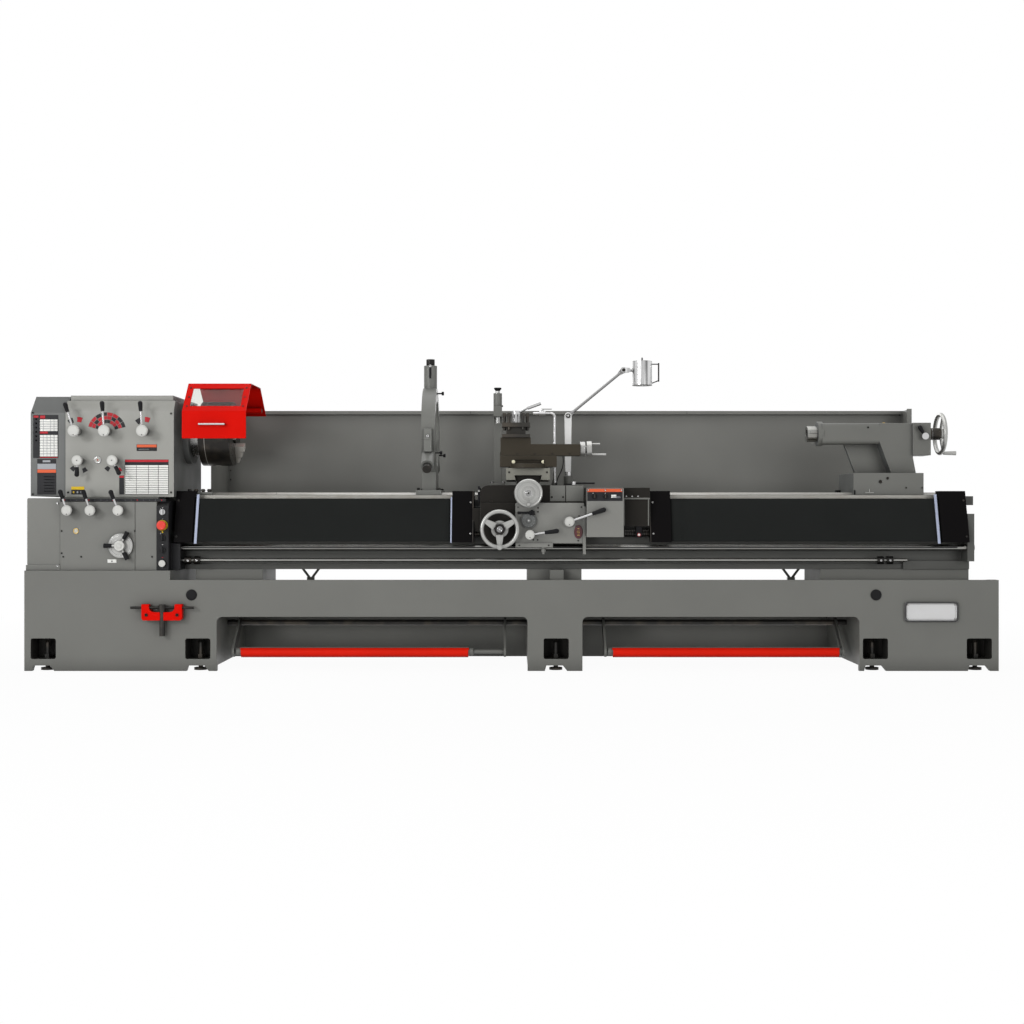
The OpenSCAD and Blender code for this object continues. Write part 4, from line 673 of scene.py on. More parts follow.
speed_x = [head_x0 + offset for offset in (67, 221, 415)]
speed_z = head_low.z + 337
range_x = [head_x0 + offset for offset in (82, 260)]
range_z = head_low.z + 186
fan_inks = ((INK_BLACK, INK_RED, INK_BLACK), (INK_RED, INK_RED, INK_BLACK),
    (INK_RED, INK_BLACK, INK_RED), (INK_BLACK, INK_RED, INK_RED))
fan = []
for sector in range(8):
    for ring in range(3):
        ink = fan_inks[sector % 4][ring]
        fan.append(fan_field(speed_x[1] - 8, speed_z, 44 + 19 * ring, 61 + 19 * ring,
            14 + sector * 19, 31.5 + sector * 19, head_front, ink))
for x in (speed_x[0], speed_x[2]):
    fan.append(fan_field(x - 6, speed_z, 50, 76, 68, 90, head_front, INK_RED))
    fan.append(fan_field(x - 6, speed_z, 50, 76, 110, 132, head_front, INK_BLACK))
for x, right_ink in ((range_x[0], INK_BLACK), (range_x[1], INK_RED)):
    fan.append(fan_field(x - 8, range_z, 42, 64, 216, 240, head_front, INK_BLACK))
    fan.append(fan_field(x - 8, range_z, 42, 64, 286, 310, head_front, right_ink))
trim("speed_fans", fan, "root")

table_x0, table_x1, table_z0, table_z1 = head_x0 + 306, head_x0 + 531, 901, 1081
plates = fields(head_front, [
    (table_x0, table_x1, table_z0, table_z1, INK_BLACK),
    (table_x0 + 1, table_x1 - 1, table_z1 - 13, table_z1 - 1, INK_RED),
    (table_x0 + 2, table_x1 - 2, table_z0 + 2, table_z1 - 29, INK_WHITE)])
plates += ruled(head_front, table_x0 + 2, table_x1 - 2, table_z0 + 2, table_z1 - 29,
    (0.26, 0.54, 0.77), 13, INK_BLACK)
plates += fields(head_front, [
    (table_x0 - 29, table_x0 - 4, table_z0, table_z0 + 98, INK_BLACK),
    (table_x0 - 28, table_x0 - 5, table_z0 + 86, table_z0 + 97, INK_RED)])
plates += fields(head_front, [
    (head_x0 + 366, head_x0 + 471, 1125, 1159, INK_BLACK),
    (head_x0 + 368, head_x0 + 469, 1144, 1158, INK_ORANGE),
    (head_x0 + 376, head_x0 + 430, 1133, 1135, INK_GREY)])
plates += fields(head_front, [
    (head_x0 + 30, head_x0 + 97, 901, 942, INK_BLACK),
    (head_x0 + 30, head_x0 + 97, 926, 942, INK_YELLOW),
    (head_x0 + 38, head_x0 + 46, 908, 918, INK_YELLOW),
    (head_x0 + 58, head_x0 + 66, 908, 918, INK_GREY),
    (head_x0 + 78, head_x0 + 86, 908, 918, INK_GREY)])
trim("headstock_plates", plates, "root")

glass_x = head_x0 + 166
CHROME = metal("chrome_plate", (0.56, 0.56, 0.56), 0.2, (30, 30, 30), 0.05, 0.02)
SIGHT_GLASS = enamel("sight_glass", (0.45, 0.45, 0.4), (0.5, 0.5, 0.45), 0.0, 0.12, 0.0)
bpy.ops.mesh.primitive_torus_add(major_segments=40, minor_segments=10, major_radius=mm(15),
    minor_radius=mm(3.2), location=(mm(glass_x), mm(head_front - 1), mm(range_z + 5)),
    rotation=(math.pi / 2, 0, 0))
glass_ring = bpy.context.object
glass_ring.data.materials.append(CHROME)
bpy.ops.object.shade_smooth()
glass = disc((glass_x, head_front - 1, range_z + 5), 13.5, 3, "y", SIGHT_GLASS, ease=mm(0.8))
eye = disc((glass_x, head_front - 1.6, range_z + 5), 4, 3, "y", INK_RED, ease=mm(0.5))
trim("oil_sight_glass", [glass_ring, glass, eye], "root")
panel_screws = [screw((x, head_front - 1, z), 5, 4, "y", BLACK_OXIDE)
    for x in (head_x0 + 14, head_x0 + 544) for z in (912, 1318)]
trim("headstock_screws", panel_screws, "root")


# End covers. The gear cover at the headstock's end and the belt cover below it are folded
# and welded steel doors in a deeper grey. The gear cover carries two printed plates.
end_low = box_mm("end_cover")[0]
end_front = end_low.y
end_x0 = end_low.x
finished_copy("end_cover", "end_cover_door", [DEEP_ENAMEL], ease=0.0025)
CASING_ENAMEL = enamel("casing_enamel", (0.158, 0.159, 0.147), (0.28, 0.28, 0.26), shine=0.35)
finished_copy("belt_cover", "belt_cover_door", [CASING_ENAMEL], ease=0.0025)
chart_x0, chart_x1, chart_z0, chart_z1 = end_x0 + 13, end_x0 + 143, 1089, 1311
chart = fields(end_front, [
    (chart_x0, chart_x1, chart_z0, chart_z1, INK_BLACK),
    (chart_x0 + 3, chart_x0 + 28, chart_z1 - 14, chart_z1 - 3, INK_RED),
    (chart_x0 + 36, chart_x0 + 62, chart_z1 - 18, chart_z1 - 3, INK_RED),
    (chart_x0 + 35, chart_x1 - 4, chart_z0 + 139, chart_z1 - 23, INK_WHITE),
    (chart_x0 + 35, chart_x0 + 76, chart_z0 + 126, chart_z0 + 137, INK_RED),
    (chart_x0 + 35, chart_x1 - 4, chart_z0 + 8, chart_z0 + 119, INK_WHITE),
    (chart_x0 + 35, chart_x1 - 4, chart_z0 + 2, chart_z0 + 6, INK_RED)])
chart += ruled(end_front, chart_x0 + 35, chart_x1 - 4, chart_z0 + 139, chart_z1 - 23,
    (0.2, 0.6, 0.8), 5, INK_GREY)
chart += ruled(end_front, chart_x0 + 35, chart_x1 - 4, chart_z0 + 8, chart_z0 + 119,
    (0.2, 0.4, 0.6, 0.8), 8, INK_GREY)
for line in range(6):
    line_z = chart_z0 + 205 - 22 * line
    chart += fields(end_front, [(chart_x0 + 12, chart_x0 + 19, line_z - 8, line_z, INK_GREY)])
notice_x0, notice_x1, notice_z0, notice_z1 = end_x0 + 34, end_x0 + 132, 901, 1084
chart += fields(end_front, [
    (notice_x0, notice_x1, notice_z0, notice_z1, INK_BLACK),
    (notice_x0 + 28, notice_x0 + 68, notice_z1 - 17, notice_z1 - 6, INK_GREY),
    (notice_x0 + 1, notice_x1 - 1, notice_z1 - 53, notice_z1 - 24, INK_GREY),
    (notice_x0 + 1, notice_x1 - 1, notice_z1 - 71, notice_z1 - 54, INK_ORANGE)])
for line in range(6):
    line_z = notice_z0 + 16 + 15 * line
    chart += fields(end_front, [(notice_x0 + 36, notice_x1 - 10, line_z, line_z + 2, INK_GREY)])
trim("end_cover_plates", chart, "end_cover")
door_screws = [screw((end_x0 + 12, end_front - 1, z), 5, 4, "y", BLACK_OXIDE)
    for z in (903, 1322)]
trim("end_cover_screws", door_screws, "end_cover")
belt_low, belt_high = box_mm("belt_cover")
belt_screws = [screw((belt_high.x - 14, belt_low.y + 1, z), 5, 4, "y", CHROME)
    for z in (536, 858)]
trim("belt_cover_screws", belt_screws, "root")


# Gearbox. A grey cast box under the headstock, with a black control strip at its right and a
# ruled black scale along its ledge.
gear_low = box_mm("gearbox_casing")[0]
gear_front = end_front - 58
gear_x0 = gear_low.x
strip_x0, strip_x1 = gear_x0 + 493, gear_x0 + 555
switch_x = gear_x0 + 524
BRASS = metal("brass", (0.55, 0.38, 0.13), 0.28, (40, 40, 40), 0.15, 0.05)
BLACK_PANEL = enamel("black_panel", (0.014, 0.014, 0.015), (0.05, 0.05, 0.05), 0.1, 0.38, 0.05, 0.2)


def gearbox_face(middle, normal):
    """Grey, with a black control strip, and bright, black and yellow switches on it."""
    if middle.x < strip_x0 - 1 or (middle.x < strip_x1 and middle.y > gear_front + 40):
        return 0
    if middle.x > strip_x1 + 0.5 or middle.y > gear_front - 2.5:
        return 1
    if middle.z > 780:
        return 2
    return 3 if 710 < middle.z < 775 else 1


finished_copy("gearbox_casing", "gearbox_with_strip",
    [CASING_ENAMEL, BLACK_PANEL, CHROME, INK_YELLOW], gearbox_face, ease=0.0015)
scale_parts = fields(gear_front, [(gear_x0 + 2, gear_x0 + 275, 864, 879, INK_BLACK),
    (gear_x0 + 279, gear_x0 + 541, 864, 879, INK_BLACK)], lift=0.8)
tick_x = gear_x0 + 20
while tick_x < gear_x0 + 530:
    ink = INK_RED if round(tick_x) % 4 == 0 else INK_DIM
    scale_parts += fields(gear_front, [(tick_x, tick_x + 5, 869, 875, ink)], lift=1.3)
    tick_x += 31
trim("gearbox_scale", scale_parts, "root")


# Shift levers. Chrome rods with black grips turn on white hubs that carry one small black
# dot. Five stand on the headstock, and three in a row on the gearbox.
WHITE_PLASTIC = enamel("white_plastic", (0.5, 0.5, 0.475), (0.6, 0.6, 0.58), 0.0, 0.3, 0.03)
pivots = {joint["child"]: Vector(joint["pos_m"]) * 1000 for joint in frame["joints"]
    if joint.get("pos_m")}


def lever_finish(name, hub_radius, arm, dot_share):
    """A lever in its finishes: white hub, chrome rod and black grip, and the hub's dot."""
    pivot = pivots[name]
    hub_front = box_mm(name)[0].y + 2

    def lever_face(middle, normal):
        away = math.hypot(middle.x - pivot.x, middle.z - pivot.z)
        if away > arm - 1:
            return 2
        return 0 if away < hub_radius + 0.5 and middle.y < hub_front + 12.5 else 1

    finished_copy(name, name + "_finished", [WHITE_PLASTIC, CHROME, BLACK_PLASTIC],
        lever_face)
    cap = disc((pivot.x, hub_front - 0.2, pivot.z), hub_radius * 0.86, 1.0, "y", WHITE_PLASTIC,
        ease=0.0003)
    dot = disc((pivot.x, hub_front - 0.5, pivot.z - hub_radius * dot_share), 2.6, 1.2, "y",
        INK_BLACK, ease=0.0002, sides=16)
    trim(name + "_dot", [cap, dot], nodes[name]["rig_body"])


for number in (1, 2, 3):
    lever_finish(f"speed_lever_{number}", 29, 100, 0.72)
    lever_finish(f"feed_lever_{number}", 26, 62, 0.72)
for number in (1, 2):
    lever_finish(f"range_lever_{number}", 26, 34, 0.0)


# Feed dial and buttons. The selector is a turned silver dial with a white hub and three black
# handles. The strip beside it carries a red stop button, switches and a white jog button, and
# a brass sight glass and six screws finish the gearbox's front.
SATIN = metal("satin_aluminium", (0.4, 0.4, 0.385), 0.36, (60, 60, 60), 0.05, 0.08, 0.85)
RED_PLASTIC = enamel("red_plastic", (0.62, 0.03, 0.015), (0.7, 0.1, 0.08), 0.1, 0.28, 0.02)
dial_pivot = pivots["feed_dial"]


def dial_face(middle, normal):
    """Silver dial and stubs, white hub, black handles."""
    away = math.hypot(middle.x - dial_pivot.x, middle.z - dial_pivot.z)
    if middle.y > gear_front - 17:
        return 0
    if away < 26.5:
        return 1
    return 2 if away > 39.5 else 0


def turned_rings(middle, radii, thickness, axis, material):
    """Fine raised rings about one centre, as a lathe tool leaves them on a face."""
    rings = []
    for radius in radii:
        bpy.ops.mesh.primitive_torus_add(major_segments=48, minor_segments=8,
            minor_radius=mm(thickness), major_radius=mm(radius), rotation=AXIS_TURN[axis],
            location=[mm(v) for v in middle])
        ring = bpy.context.object
        ring.data.materials.append(material)
        bpy.ops.object.shade_smooth()
        rings.append(ring)
    return rings


finished_copy("feed_dial", "feed_dial_finished", [SATIN, WHITE_PLASTIC, BLACK_PLASTIC],
    dial_face, ease=0.0015)
dial_trim = turned_rings((dial_pivot.x, gear_front - 16, dial_pivot.z), (58, 50, 33), 1.1, "y",
    CHROME)
dial_trim.append(disc((dial_pivot.x, gear_front - 44.4, dial_pivot.z), 12, 1.4, "y",
    WHITE_PLASTIC, ease=0.0004))
trim("feed_dial_rings", dial_trim, "feed_dial")
# The stop button's shaft stays straight behind its mushroom head, to slide in its hole
stop_low, stop_high = box_mm("e_stop")
stop_x, stop_z = (stop_low.x + stop_high.x) / 2, (stop_low.z + stop_high.z) / 2
stop_button = joined("stop_button", [
    disc((stop_x, stop_low.y + 7, stop_z), 24, 14, "y", RED_PLASTIC, ease=0.0042, sides=48),
    disc((stop_x, (stop_low.y + 12 + stop_high.y) / 2, stop_z), 9,
        stop_high.y - stop_low.y - 12, "y", RED_PLASTIC)])
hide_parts("e_stop")
fixed_to(stop_button, "e_stop")
finished_copy("jog_button", "jog_button_finished", [WHITE_PLASTIC], ease=0.0015)
marks = fields(gear_front - 2, [
    (switch_x - 2, switch_x + 2, 830, 834, INK_WHITE),
    (switch_x - 12, switch_x - 9, 825, 829, INK_WHITE),
    (switch_x - 4, switch_x + 4, 774, 777, INK_GREY),
    (switch_x - 12, switch_x - 7, 700, 704, INK_WHITE),
    (switch_x - 3, switch_x + 3, 643, 646, INK_WHITE),
    (switch_x - 4, switch_x + 4, 577, 580, INK_RED),
    (switch_x - 3, switch_x + 3, 525, 528, INK_GREY)], lift=0.4)
marks.append(disc((switch_x, gear_front - 3, 708), 4.5, 4, "y", INK_YELLOW, sides=20))
marks += fields(gear_front, [(gear_x0 + 242, gear_x0 + 288, 551, 569, INK_WHITE),
    (gear_x0 + 262, gear_x0 + 268, 556, 562, INK_BLACK)], lift=0.7)
trim("control_strip_marks", marks, "root")
oil_x, oil_z = gear_x0 + 81, 714
oil_glass = turned_rings((oil_x, gear_front - 0.5, oil_z), (12,), 3, "y", BRASS)
oil_glass.append(disc((oil_x, gear_front - 1, oil_z), 11, 3, "y", SIGHT_GLASS, ease=mm(0.8)))
trim("gearbox_sight_glass", oil_glass, "root")
casing_screws = [screw((gear_x0 + offset, gear_front - 0.8, z), 4.5, 3.5, "y", BLACK_OXIDE)
    for offset, z in ((8, 714), (382, 714), (16, 582), (108, 582), (8, 600), (470, 582))]
trim("gearbox_screws", casing_screws, "root")


# Spindle and chuck. The three-jaw chuck is dark oiled iron with turned faces. Its stepped jaws
# are ground bright, and square key sockets sit round its rim between them.
CHUCK_IRON = metal("chuck_iron", (0.03, 0.028, 0.026), 0.34, (200, 10, 200), 0.2, 0.15, 0.85)
JAW_STEEL = metal("jaw_steel", (0.6, 0.58, 0.54), 0.34, (40, 120, 120), 0.2, 0.12, 0.5)
cover("spindle", BRIGHT_STEEL)
chuck_low, chuck_high = box_mm("chuck_body")
axis_y = (chuck_low.y + chuck_high.y) / 2
axis_z = (chuck_low.z + chuck_high.z) / 2
chuck_radius = (chuck_high.y - chuck_low.y) / 2


def swung(part, degrees, axis, pivot):
    """Turns a part in its mesh about a point in millimetres."""
    edit_all(part)
    bpy.ops.transform.rotate(value=math.radians(degrees), orient_axis=axis,
        center_override=[mm(v) for v in pivot])
    bpy.ops.object.mode_set(mode="OBJECT")
    return part


def chuck_face(middle, normal):
    """Dark, with a bright band turned at the front and round the nose."""
    away = math.hypot(middle.y - axis_y, middle.z - axis_z)
    return 1 if away < 78 or middle.x < chuck_low.x + 5 else 0


finished_copy("chuck_body", "chuck_turned", [CHUCK_IRON, JAW_STEEL], chuck_face,
    ease=0.003)
chuck_trim = turned_rings((chuck_high.x, axis_y, axis_z), (66, 96, 130, 158), 0.8, "x",
    CHUCK_IRON)
chuck_trim += turned_rings((chuck_low.x + 34, axis_y, axis_z), (chuck_radius,), 1.2, "x",
    JAW_STEEL)
for angle in (30, 150, 270):
    socket_y = axis_y + (chuck_radius - 3) * math.cos(math.radians(angle))
    socket_z = axis_z + (chuck_radius - 3) * math.sin(math.radians(angle))
    socket_x = chuck_low.x + 78
    socket = disc((socket_x, socket_y, socket_z), 17, 8, "z", JAW_STEEL, ease=0.0015)
    hole = block((socket_x - 7, socket_y - 7, socket_z - 3.5), (socket_x + 7, socket_y + 7,
        socket_z + 4.6), INK_BLACK, ease=0.0004)
    chuck_trim.append(swung(joined("key_socket", [socket, hole]), angle - 90, "X",
        (socket_x, socket_y, socket_z)))
trim("chuck_rings_and_sockets", chuck_trim, "spindle")
for number in (1, 2, 3):
    finished_copy(f"jaw_{number}", f"jaw_{number}_ground", [JAW_STEEL], ease=0.0018)


# Chuck guard. A folded red steel cover hinges on a bar behind the chuck. A clear pane is
# screwed into its sloped front, and a bright rod serves as its handle.
PANE = bpy.data.materials.new("clear_pane")
PANE.use_nodes = True
PANE.node_tree.nodes.clear()
pane_view = shade(PANE.node_tree, "BsdfTransparent", {"Color": (0.86, 0.87, 0.84, 1)})
pane_shine = shade(PANE.node_tree, "BsdfGlossy", {"Color": (1, 1, 1, 1), "Roughness": 0.06})
pane_mix = shade(PANE.node_tree, "MixShader", {0: 0.02, 1: pane_view.outputs[0],
    2: pane_shine.outputs[0]})
shade(PANE.node_tree, "OutputMaterial", {"Surface": pane_mix.outputs[0]})
guard_low, guard_high = box_mm("chuck_guard")
guard_front = guard_low.y + 31
guard_fold = guard_high.z - 155


def guard_face(middle, normal):
    """Red sheet, a clear pane behind its window, and a bright handle in front."""
    deep = ((middle.y - guard_front) - (middle.z - guard_fold)) / math.sqrt(2)
    along = ((middle.y - guard_front) + (middle.z - guard_fold)) / math.sqrt(2)
    if middle.y < guard_front - 1 and middle.z < guard_fold - 30:
        return 2
    return 1 if 3.3 < deep < 6.9 and 20 < along < 200 else 0


finished_copy("chuck_guard", "chuck_guard_finished", [RED_ENAMEL, PANE, CHROME],
    guard_face, ease=0.0006)
slope_rise = 156
pane_screws = []
for x in (guard_low.x + 20, guard_high.x - 20):
    for share in (0.17, 0.5, 0.83):
        spot = (x, guard_front + slope_rise * share, guard_fold + slope_rise * share)
        pane_screws.append(swung(screw(spot, 4.5, 5, "z", BLACK_OXIDE), -45, "X", spot))
trim("guard_screws", pane_screws, "chuck_guard")


# Way covers. Two black sheets roll out of canisters at the bed's ends to boxes on the carriage
# and shield the leadscrew. Pale guide strips, with a blue tint painted as reflection on their
# polished face, stand at their mouths, with small screws.
COVER_BLACK = enamel("cover_black", (0.003, 0.0026, 0.0028), (0.02, 0.02, 0.022), 0.3, 0.5,
    0.1, 0.05)
# The strips' blue tint is a painted reflection.
GUIDE_STRIP = enamel("guide_strip_painted_blue_reflection", (0.36, 0.4, 0.52), (0.6, 0.6, 0.62), 0.3, 0.3, 0.02, 0.3)
SHEET_BLACK = enamel("curtain_cloth", (0.011, 0.012, 0.0115), (0.012, 0.012, 0.012), 0.0, 0.6,
    0.5, 0.06)
sheet_low, sheet_high = box_mm("way_curtains")
sheet_z0, sheet_z1 = sheet_low.z, sheet_high.z
lean = (sheet_high.y - 3 - sheet_low.y) / (sheet_z1 - sheet_z0)


def lean_y(z):
    """The depth of the leaning sheet's front at a height."""
    return sheet_low.y + (z - sheet_z0) * lean


def leaning(x0, x1, z0, z1, depth0, depth1, material, ease=0.0006):
    """A part that leans like the sheet, between two depths from its front."""
    part = block((x0, depth0, z0), (x1, depth1, z1), material, ease=ease)
    for corner in part.data.vertices:
        corner.co.y += mm(lean_y(corner.co.z * 1000))
    return part


def canister_face(middle, normal):
    """Black, with the pale strip in front of the sheet at each mouth."""
    in_front = middle.y - lean_y(middle.z) < -0.1 and middle.y - lean_y(middle.z) > -8.5
    at_left = cover_x[0] + 0.5 < middle.x < cover_x[0] + 30
    at_right = cover_x[1] - 30 < middle.x < cover_x[1] - 0.5
    return 1 if in_front and (at_left or at_right) else 0


apron_low, apron_high = box_mm("apron")
box_x = [apron_low.x, apron_high.x]
cover_x = [sheet_low.x, sheet_high.x]
canister_low, canister_high = box_mm("cover_canisters")
finished_copy("cover_canisters", "canisters_finished",
    [COVER_BLACK, GUIDE_STRIP], canister_face, ease=0.0015)
trim("cover_screws", [screw((x, lean_y(z) - 12, z), 5, 4, "y", DARK_STEEL)
    for x in (canister_low.x + 14, canister_high.x - 14)
    for z in (sheet_z0 + 25, sheet_z1 - 10)], "root")
strips = [leaning(box_x[0] - 8, box_x[0] + 0.5, sheet_z0 - 8, sheet_z1 + 8, -9, -0.8, GUIDE_STRIP),
    leaning(box_x[0] + 106, box_x[0] + 110, sheet_z0 - 4, sheet_z1 + 38, -13, -10, DARK_STEEL),
    leaning(box_x[1] - 108, box_x[1] - 104, sheet_z0 - 4, sheet_z1 + 38, -13, -10, DARK_STEEL)]
strips += [screw((x, lean_y(z) - 12, z), 4.5, 4, "y", BRIGHT_STEEL)
    for x in (box_x[0] + 95, box_x[1] - 92) for z in (sheet_z0 + 40, sheet_z1 - 20)]
trim("carriage_cover_strips", strips, "carriage")
for side, (x0, x1) in enumerate(((cover_x[0], box_x[0]), (box_x[1], cover_x[1]))):
    curtain = block((x0, 0, sheet_z0), (x1, 3, sheet_z1), SHEET_BLACK, ease=0.0005)
    edit_all(curtain)
    bpy.ops.mesh.subdivide(number_cuts=24)
    bpy.ops.object.mode_set(mode="OBJECT")
    for corner in curtain.data.vertices:
        corner.co.y += mm(lean_y(corner.co.z * 1000))
    curtain.name = f"rolled_sheet_{side + 1}"
    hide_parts("way_curtains")
    first, second = (("root", "carriage"), ("carriage", "root"))[side]
    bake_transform(curtain)


# Rods. The leadscrew has a cut thread between plain ends, the feed rod a keyway, and the
# control rod runs in black collars with bright set screws.
ROD_STEEL = metal("rod_steel", (0.3, 0.3, 0.285), 0.26, (3, 300, 300), 0.2, 0.08)
THREAD_STEEL = metal("thread_steel", (0.06, 0.058, 0.055), 0.32, (3, 300, 300), 0.3, 0.08)
screw_low, screw_high = box_mm("leadscrew")
screw_y = (screw_low.y + screw_high.y) / 2
screw_z = (screw_low.z + screw_high.z) / 2
screw_x0, screw_x1 = screw_low.x, screw_high.x
plain_end, pitch = 110, 12
thread_x0, thread_x1 = screw_x0 + plain_end, screw_x1 - plain_end
bpy.ops.mesh.primitive_plane_add(size=1, location=(0, 0, 0))
thread = bpy.context.object
profile = ((16.5, -4.5), (19.9, -2.2), (19.9, 2.2), (16.5, 4.5))
thread.data.clear_geometry()
thread.data.from_pydata([(mm(r), 0, mm(z)) for r, z in profile], [(0, 1), (1, 2), (2, 3)], [])
thread.rotation_euler = (0, math.pi / 2, 0)
thread.location = (mm(thread_x0), mm(screw_y), mm(screw_z))
winding = thread.modifiers.new("thread", "SCREW")
winding.axis = "Z"
winding.screw_offset = mm(pitch)
winding.steps = 20
winding.render_steps = 20
winding.iterations = int((thread_x1 - thread_x0) / pitch)
pick(thread)
bpy.ops.object.modifier_apply(modifier=winding.name)
bpy.ops.object.transform_apply(location=True, rotation=True, scale=True)
bpy.ops.object.shade_smooth_by_angle(angle=math.radians(30))
thread.data.materials.append(THREAD_STEEL)
core = disc(((screw_x0 + screw_x1) / 2, screw_y, screw_z), 16.8, screw_x1 - screw_x0, "x",
    DARK_STEEL)
ends = [disc((middle, screw_y, screw_z), 20, plain_end, "x", ROD_STEEL)
    for middle in (screw_x0 + plain_end / 2, screw_x1 - plain_end / 2)]
leadscrew = joined("leadscrew_threaded", [thread, core] + ends)
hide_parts("leadscrew")
fixed_to(leadscrew, "leadscrew")
cover("feed_rod", ROD_STEEL)
feed_low, feed_high = box_mm("feed_rod")
rod_y = (feed_low.y + feed_high.y) / 2
keyway = block((feed_low.x + 90, feed_low.y - 0.15, feed_low.z + 13),
    (feed_high.x - 90, feed_low.y + 3, feed_low.z + 19), INK_BLACK,
    ease=0.0002)
fixed_to(keyway, "feed_rod").name = "feed_rod_keyway"
control_low, control_high = box_mm("control_rod")
control_z = (control_low.z + control_high.z) / 2


def control_face(middle, normal):
    """Black collars on a steel rod."""
    return 1 if math.hypot(middle.y - rod_y, middle.z - control_z) > 11 else 0


finished_copy("control_rod", "control_rod_finished", [ROD_STEEL, BLACK_OXIDE],
    control_face, ease=0.0015)
collar_x = [head_x0 + 622, head_x0 + 668, control_high.x - 139, control_high.x - 91]
trim("collar_screws", [screw((x, rod_y - 20.5, control_z), 5.5, 3, "y", CHROME)
    for x in collar_x], "control_rod")


# Splash guard and the headstock's foot. The guard is folded grey sheet with a lip along its
# top, screwed at its corners. Hex bolts hold the headstock's foot down beside the chuck.
SPLASH_ENAMEL = enamel("splash_enamel", (0.168, 0.168, 0.156), (0.3, 0.3, 0.28), 0.3, 0.4,
    0.06, 0.35)
splash_low, splash_high = box_mm("splash_guard")
finished_copy("splash_guard", "splash_guard_folded", [SPLASH_ENAMEL], ease=0.0006)
splash_back = splash_high.y - 3
seams = []
for share in (0.36, 0.68):
    x = splash_low.x + (splash_high.x - splash_low.x) * share
    seams.append(block((x - 0.8, splash_back - 26.5, splash_high.z - 19), (x + 0.8,
        splash_back - 25, splash_high.z - 1), INK_BLACK, ease=0.0001))
rivets = [disc((x, splash_back - 1.5, z), 4, 3, "y", DARK_STEEL, sides=16)
    for x in (splash_low.x + 16, splash_high.x - 16)
    for z in range(1000, 1381, 54)]
trim("splash_screws", seams + rivets, "root")
foot_plate = block((head_x0 + 559, -268, way_top - 13.7), (head_x0 + 728, -240, way_top + 2),
    GREY_ENAMEL, ease=0.002)
foot_bolts = [hex_bolt((head_x0 + offset, -254, way_top + 10), 20, 16, "z", DARK_STEEL)
    for offset in (606, 640, 676, 708)]
trim("headstock_foot_bolts", [foot_plate] + foot_bolts, "root")


# Saddle. A dark cast saddle spans the bed, with black wipers screwed on where it meets the ways.
# It carries the cross feed's bearing in front, and a lock with a bright head and a black bar.
# Its pale edge colour is partly a painted highlight along the casting's rounded corners.
SADDLE_ENAMEL = enamel("saddle_enamel", (0.017, 0.0155, 0.0135), (0.1, 0.1, 0.09), 0.5, 0.42,
    0.08, 0.08)
saddle_low, saddle_high = box_mm("saddle")
saddle_x0, saddle_x1 = saddle_low.x, saddle_high.x
saddle_top = saddle_high.z - 60
saddle_front = saddle_low.y + 72


def saddle_face(middle, normal):
    """Dark over the left wing, grey at the right, ground on the cross ways."""
    if middle.z > saddle_top + 0.5 and middle.x < saddle_x0 + 330:
        return 0 if normal.y < -0.5 else 2
    return 1 if middle.x > saddle_x1 - 180 else 0


finished_copy("saddle", "saddle_finished",
    [SADDLE_ENAMEL, GREY_ENAMEL, GROUND_WAY], saddle_face, ease=0.002)
wipers = []
for x, out in ((saddle_x0, -1), (saddle_x1, 1)):
    for y in (-268, 62):
        near, far = sorted((x + out * 1, x + out * 13))
        wipers.append(block((near, y, 902), (far, y + 58, 938), BLACK_PLASTIC))
        wipers.append(screw((x + out * 14, y + 29, 926), 5, 4, "x", BRIGHT_STEEL))
wipers.append(block((saddle_x0 - 12, saddle_front + 6, 866), (saddle_x0 - 1, saddle_front + 30,
    944), BLACK_PLASTIC))
wipers.append(screw((saddle_x0 - 6, saddle_front + 5, 920), 5, 5, "y", BRIGHT_STEEL))
trim("way_wipers", wipers, "carriage")
lock_x = saddle_x1 - 56
lock = [disc((lock_x, saddle_front + 20, saddle_top + 9), 11, 18, "z", CHROME),
    disc((lock_x + 55, saddle_front + 20, saddle_top + 10), 4.5, 106, "x", BLACK_PLASTIC),
    block((saddle_x1 - 180, saddle_front - 1.2, saddle_top - 84), (saddle_x1 - 101,
        saddle_front + 0.5, saddle_top - 2), GREY_ENAMEL, ease=0.0008),
    block((saddle_x1 - 97, saddle_front - 1.2, saddle_top - 84), (saddle_x1 - 6,
        saddle_front + 0.5, saddle_top - 2), GREY_ENAMEL, ease=0.0008)]
lock += [screw((x, saddle_front - 1.4, z), 5, 3, "y", BLACK_OXIDE)
    for x, z in ((saddle_x1 - 170, saddle_top - 62), (saddle_x1 - 112, saddle_top - 62),
        (saddle_x0 + 52, saddle_top - 84), (saddle_x0 + 62, saddle_top - 84))]
trim("saddle_lock_and_screws", lock, "carriage")


# Apron. A grey cast plate in front of dark gear housings. It carries a thread dial, a lever
# with a star knob, an oval oil sight, the switch box with its printed panel, and a motor.
APRON_ENAMEL = enamel("apron_enamel", (0.193, 0.193, 0.179), (0.34, 0.34, 0.32), 0.5, 0.36,
    0.06, 0.4)
OIL_RED = enamel("oil_red", (0.07, 0.008, 0.012), (0.07, 0.01, 0.01), 0.0, 0.12, 0.0)
apron_front = -440
dial_x, dial_z, dial_radius = 88, 767, 40.6
oval_x, oval_z = 343, 709
star_x, star_z = 104, 808
switch_box_x0, switch_box_x1 = apron_low.x + 690, apron_low.x + 878
box_front = apron_low.y
box_top = apron_high.z


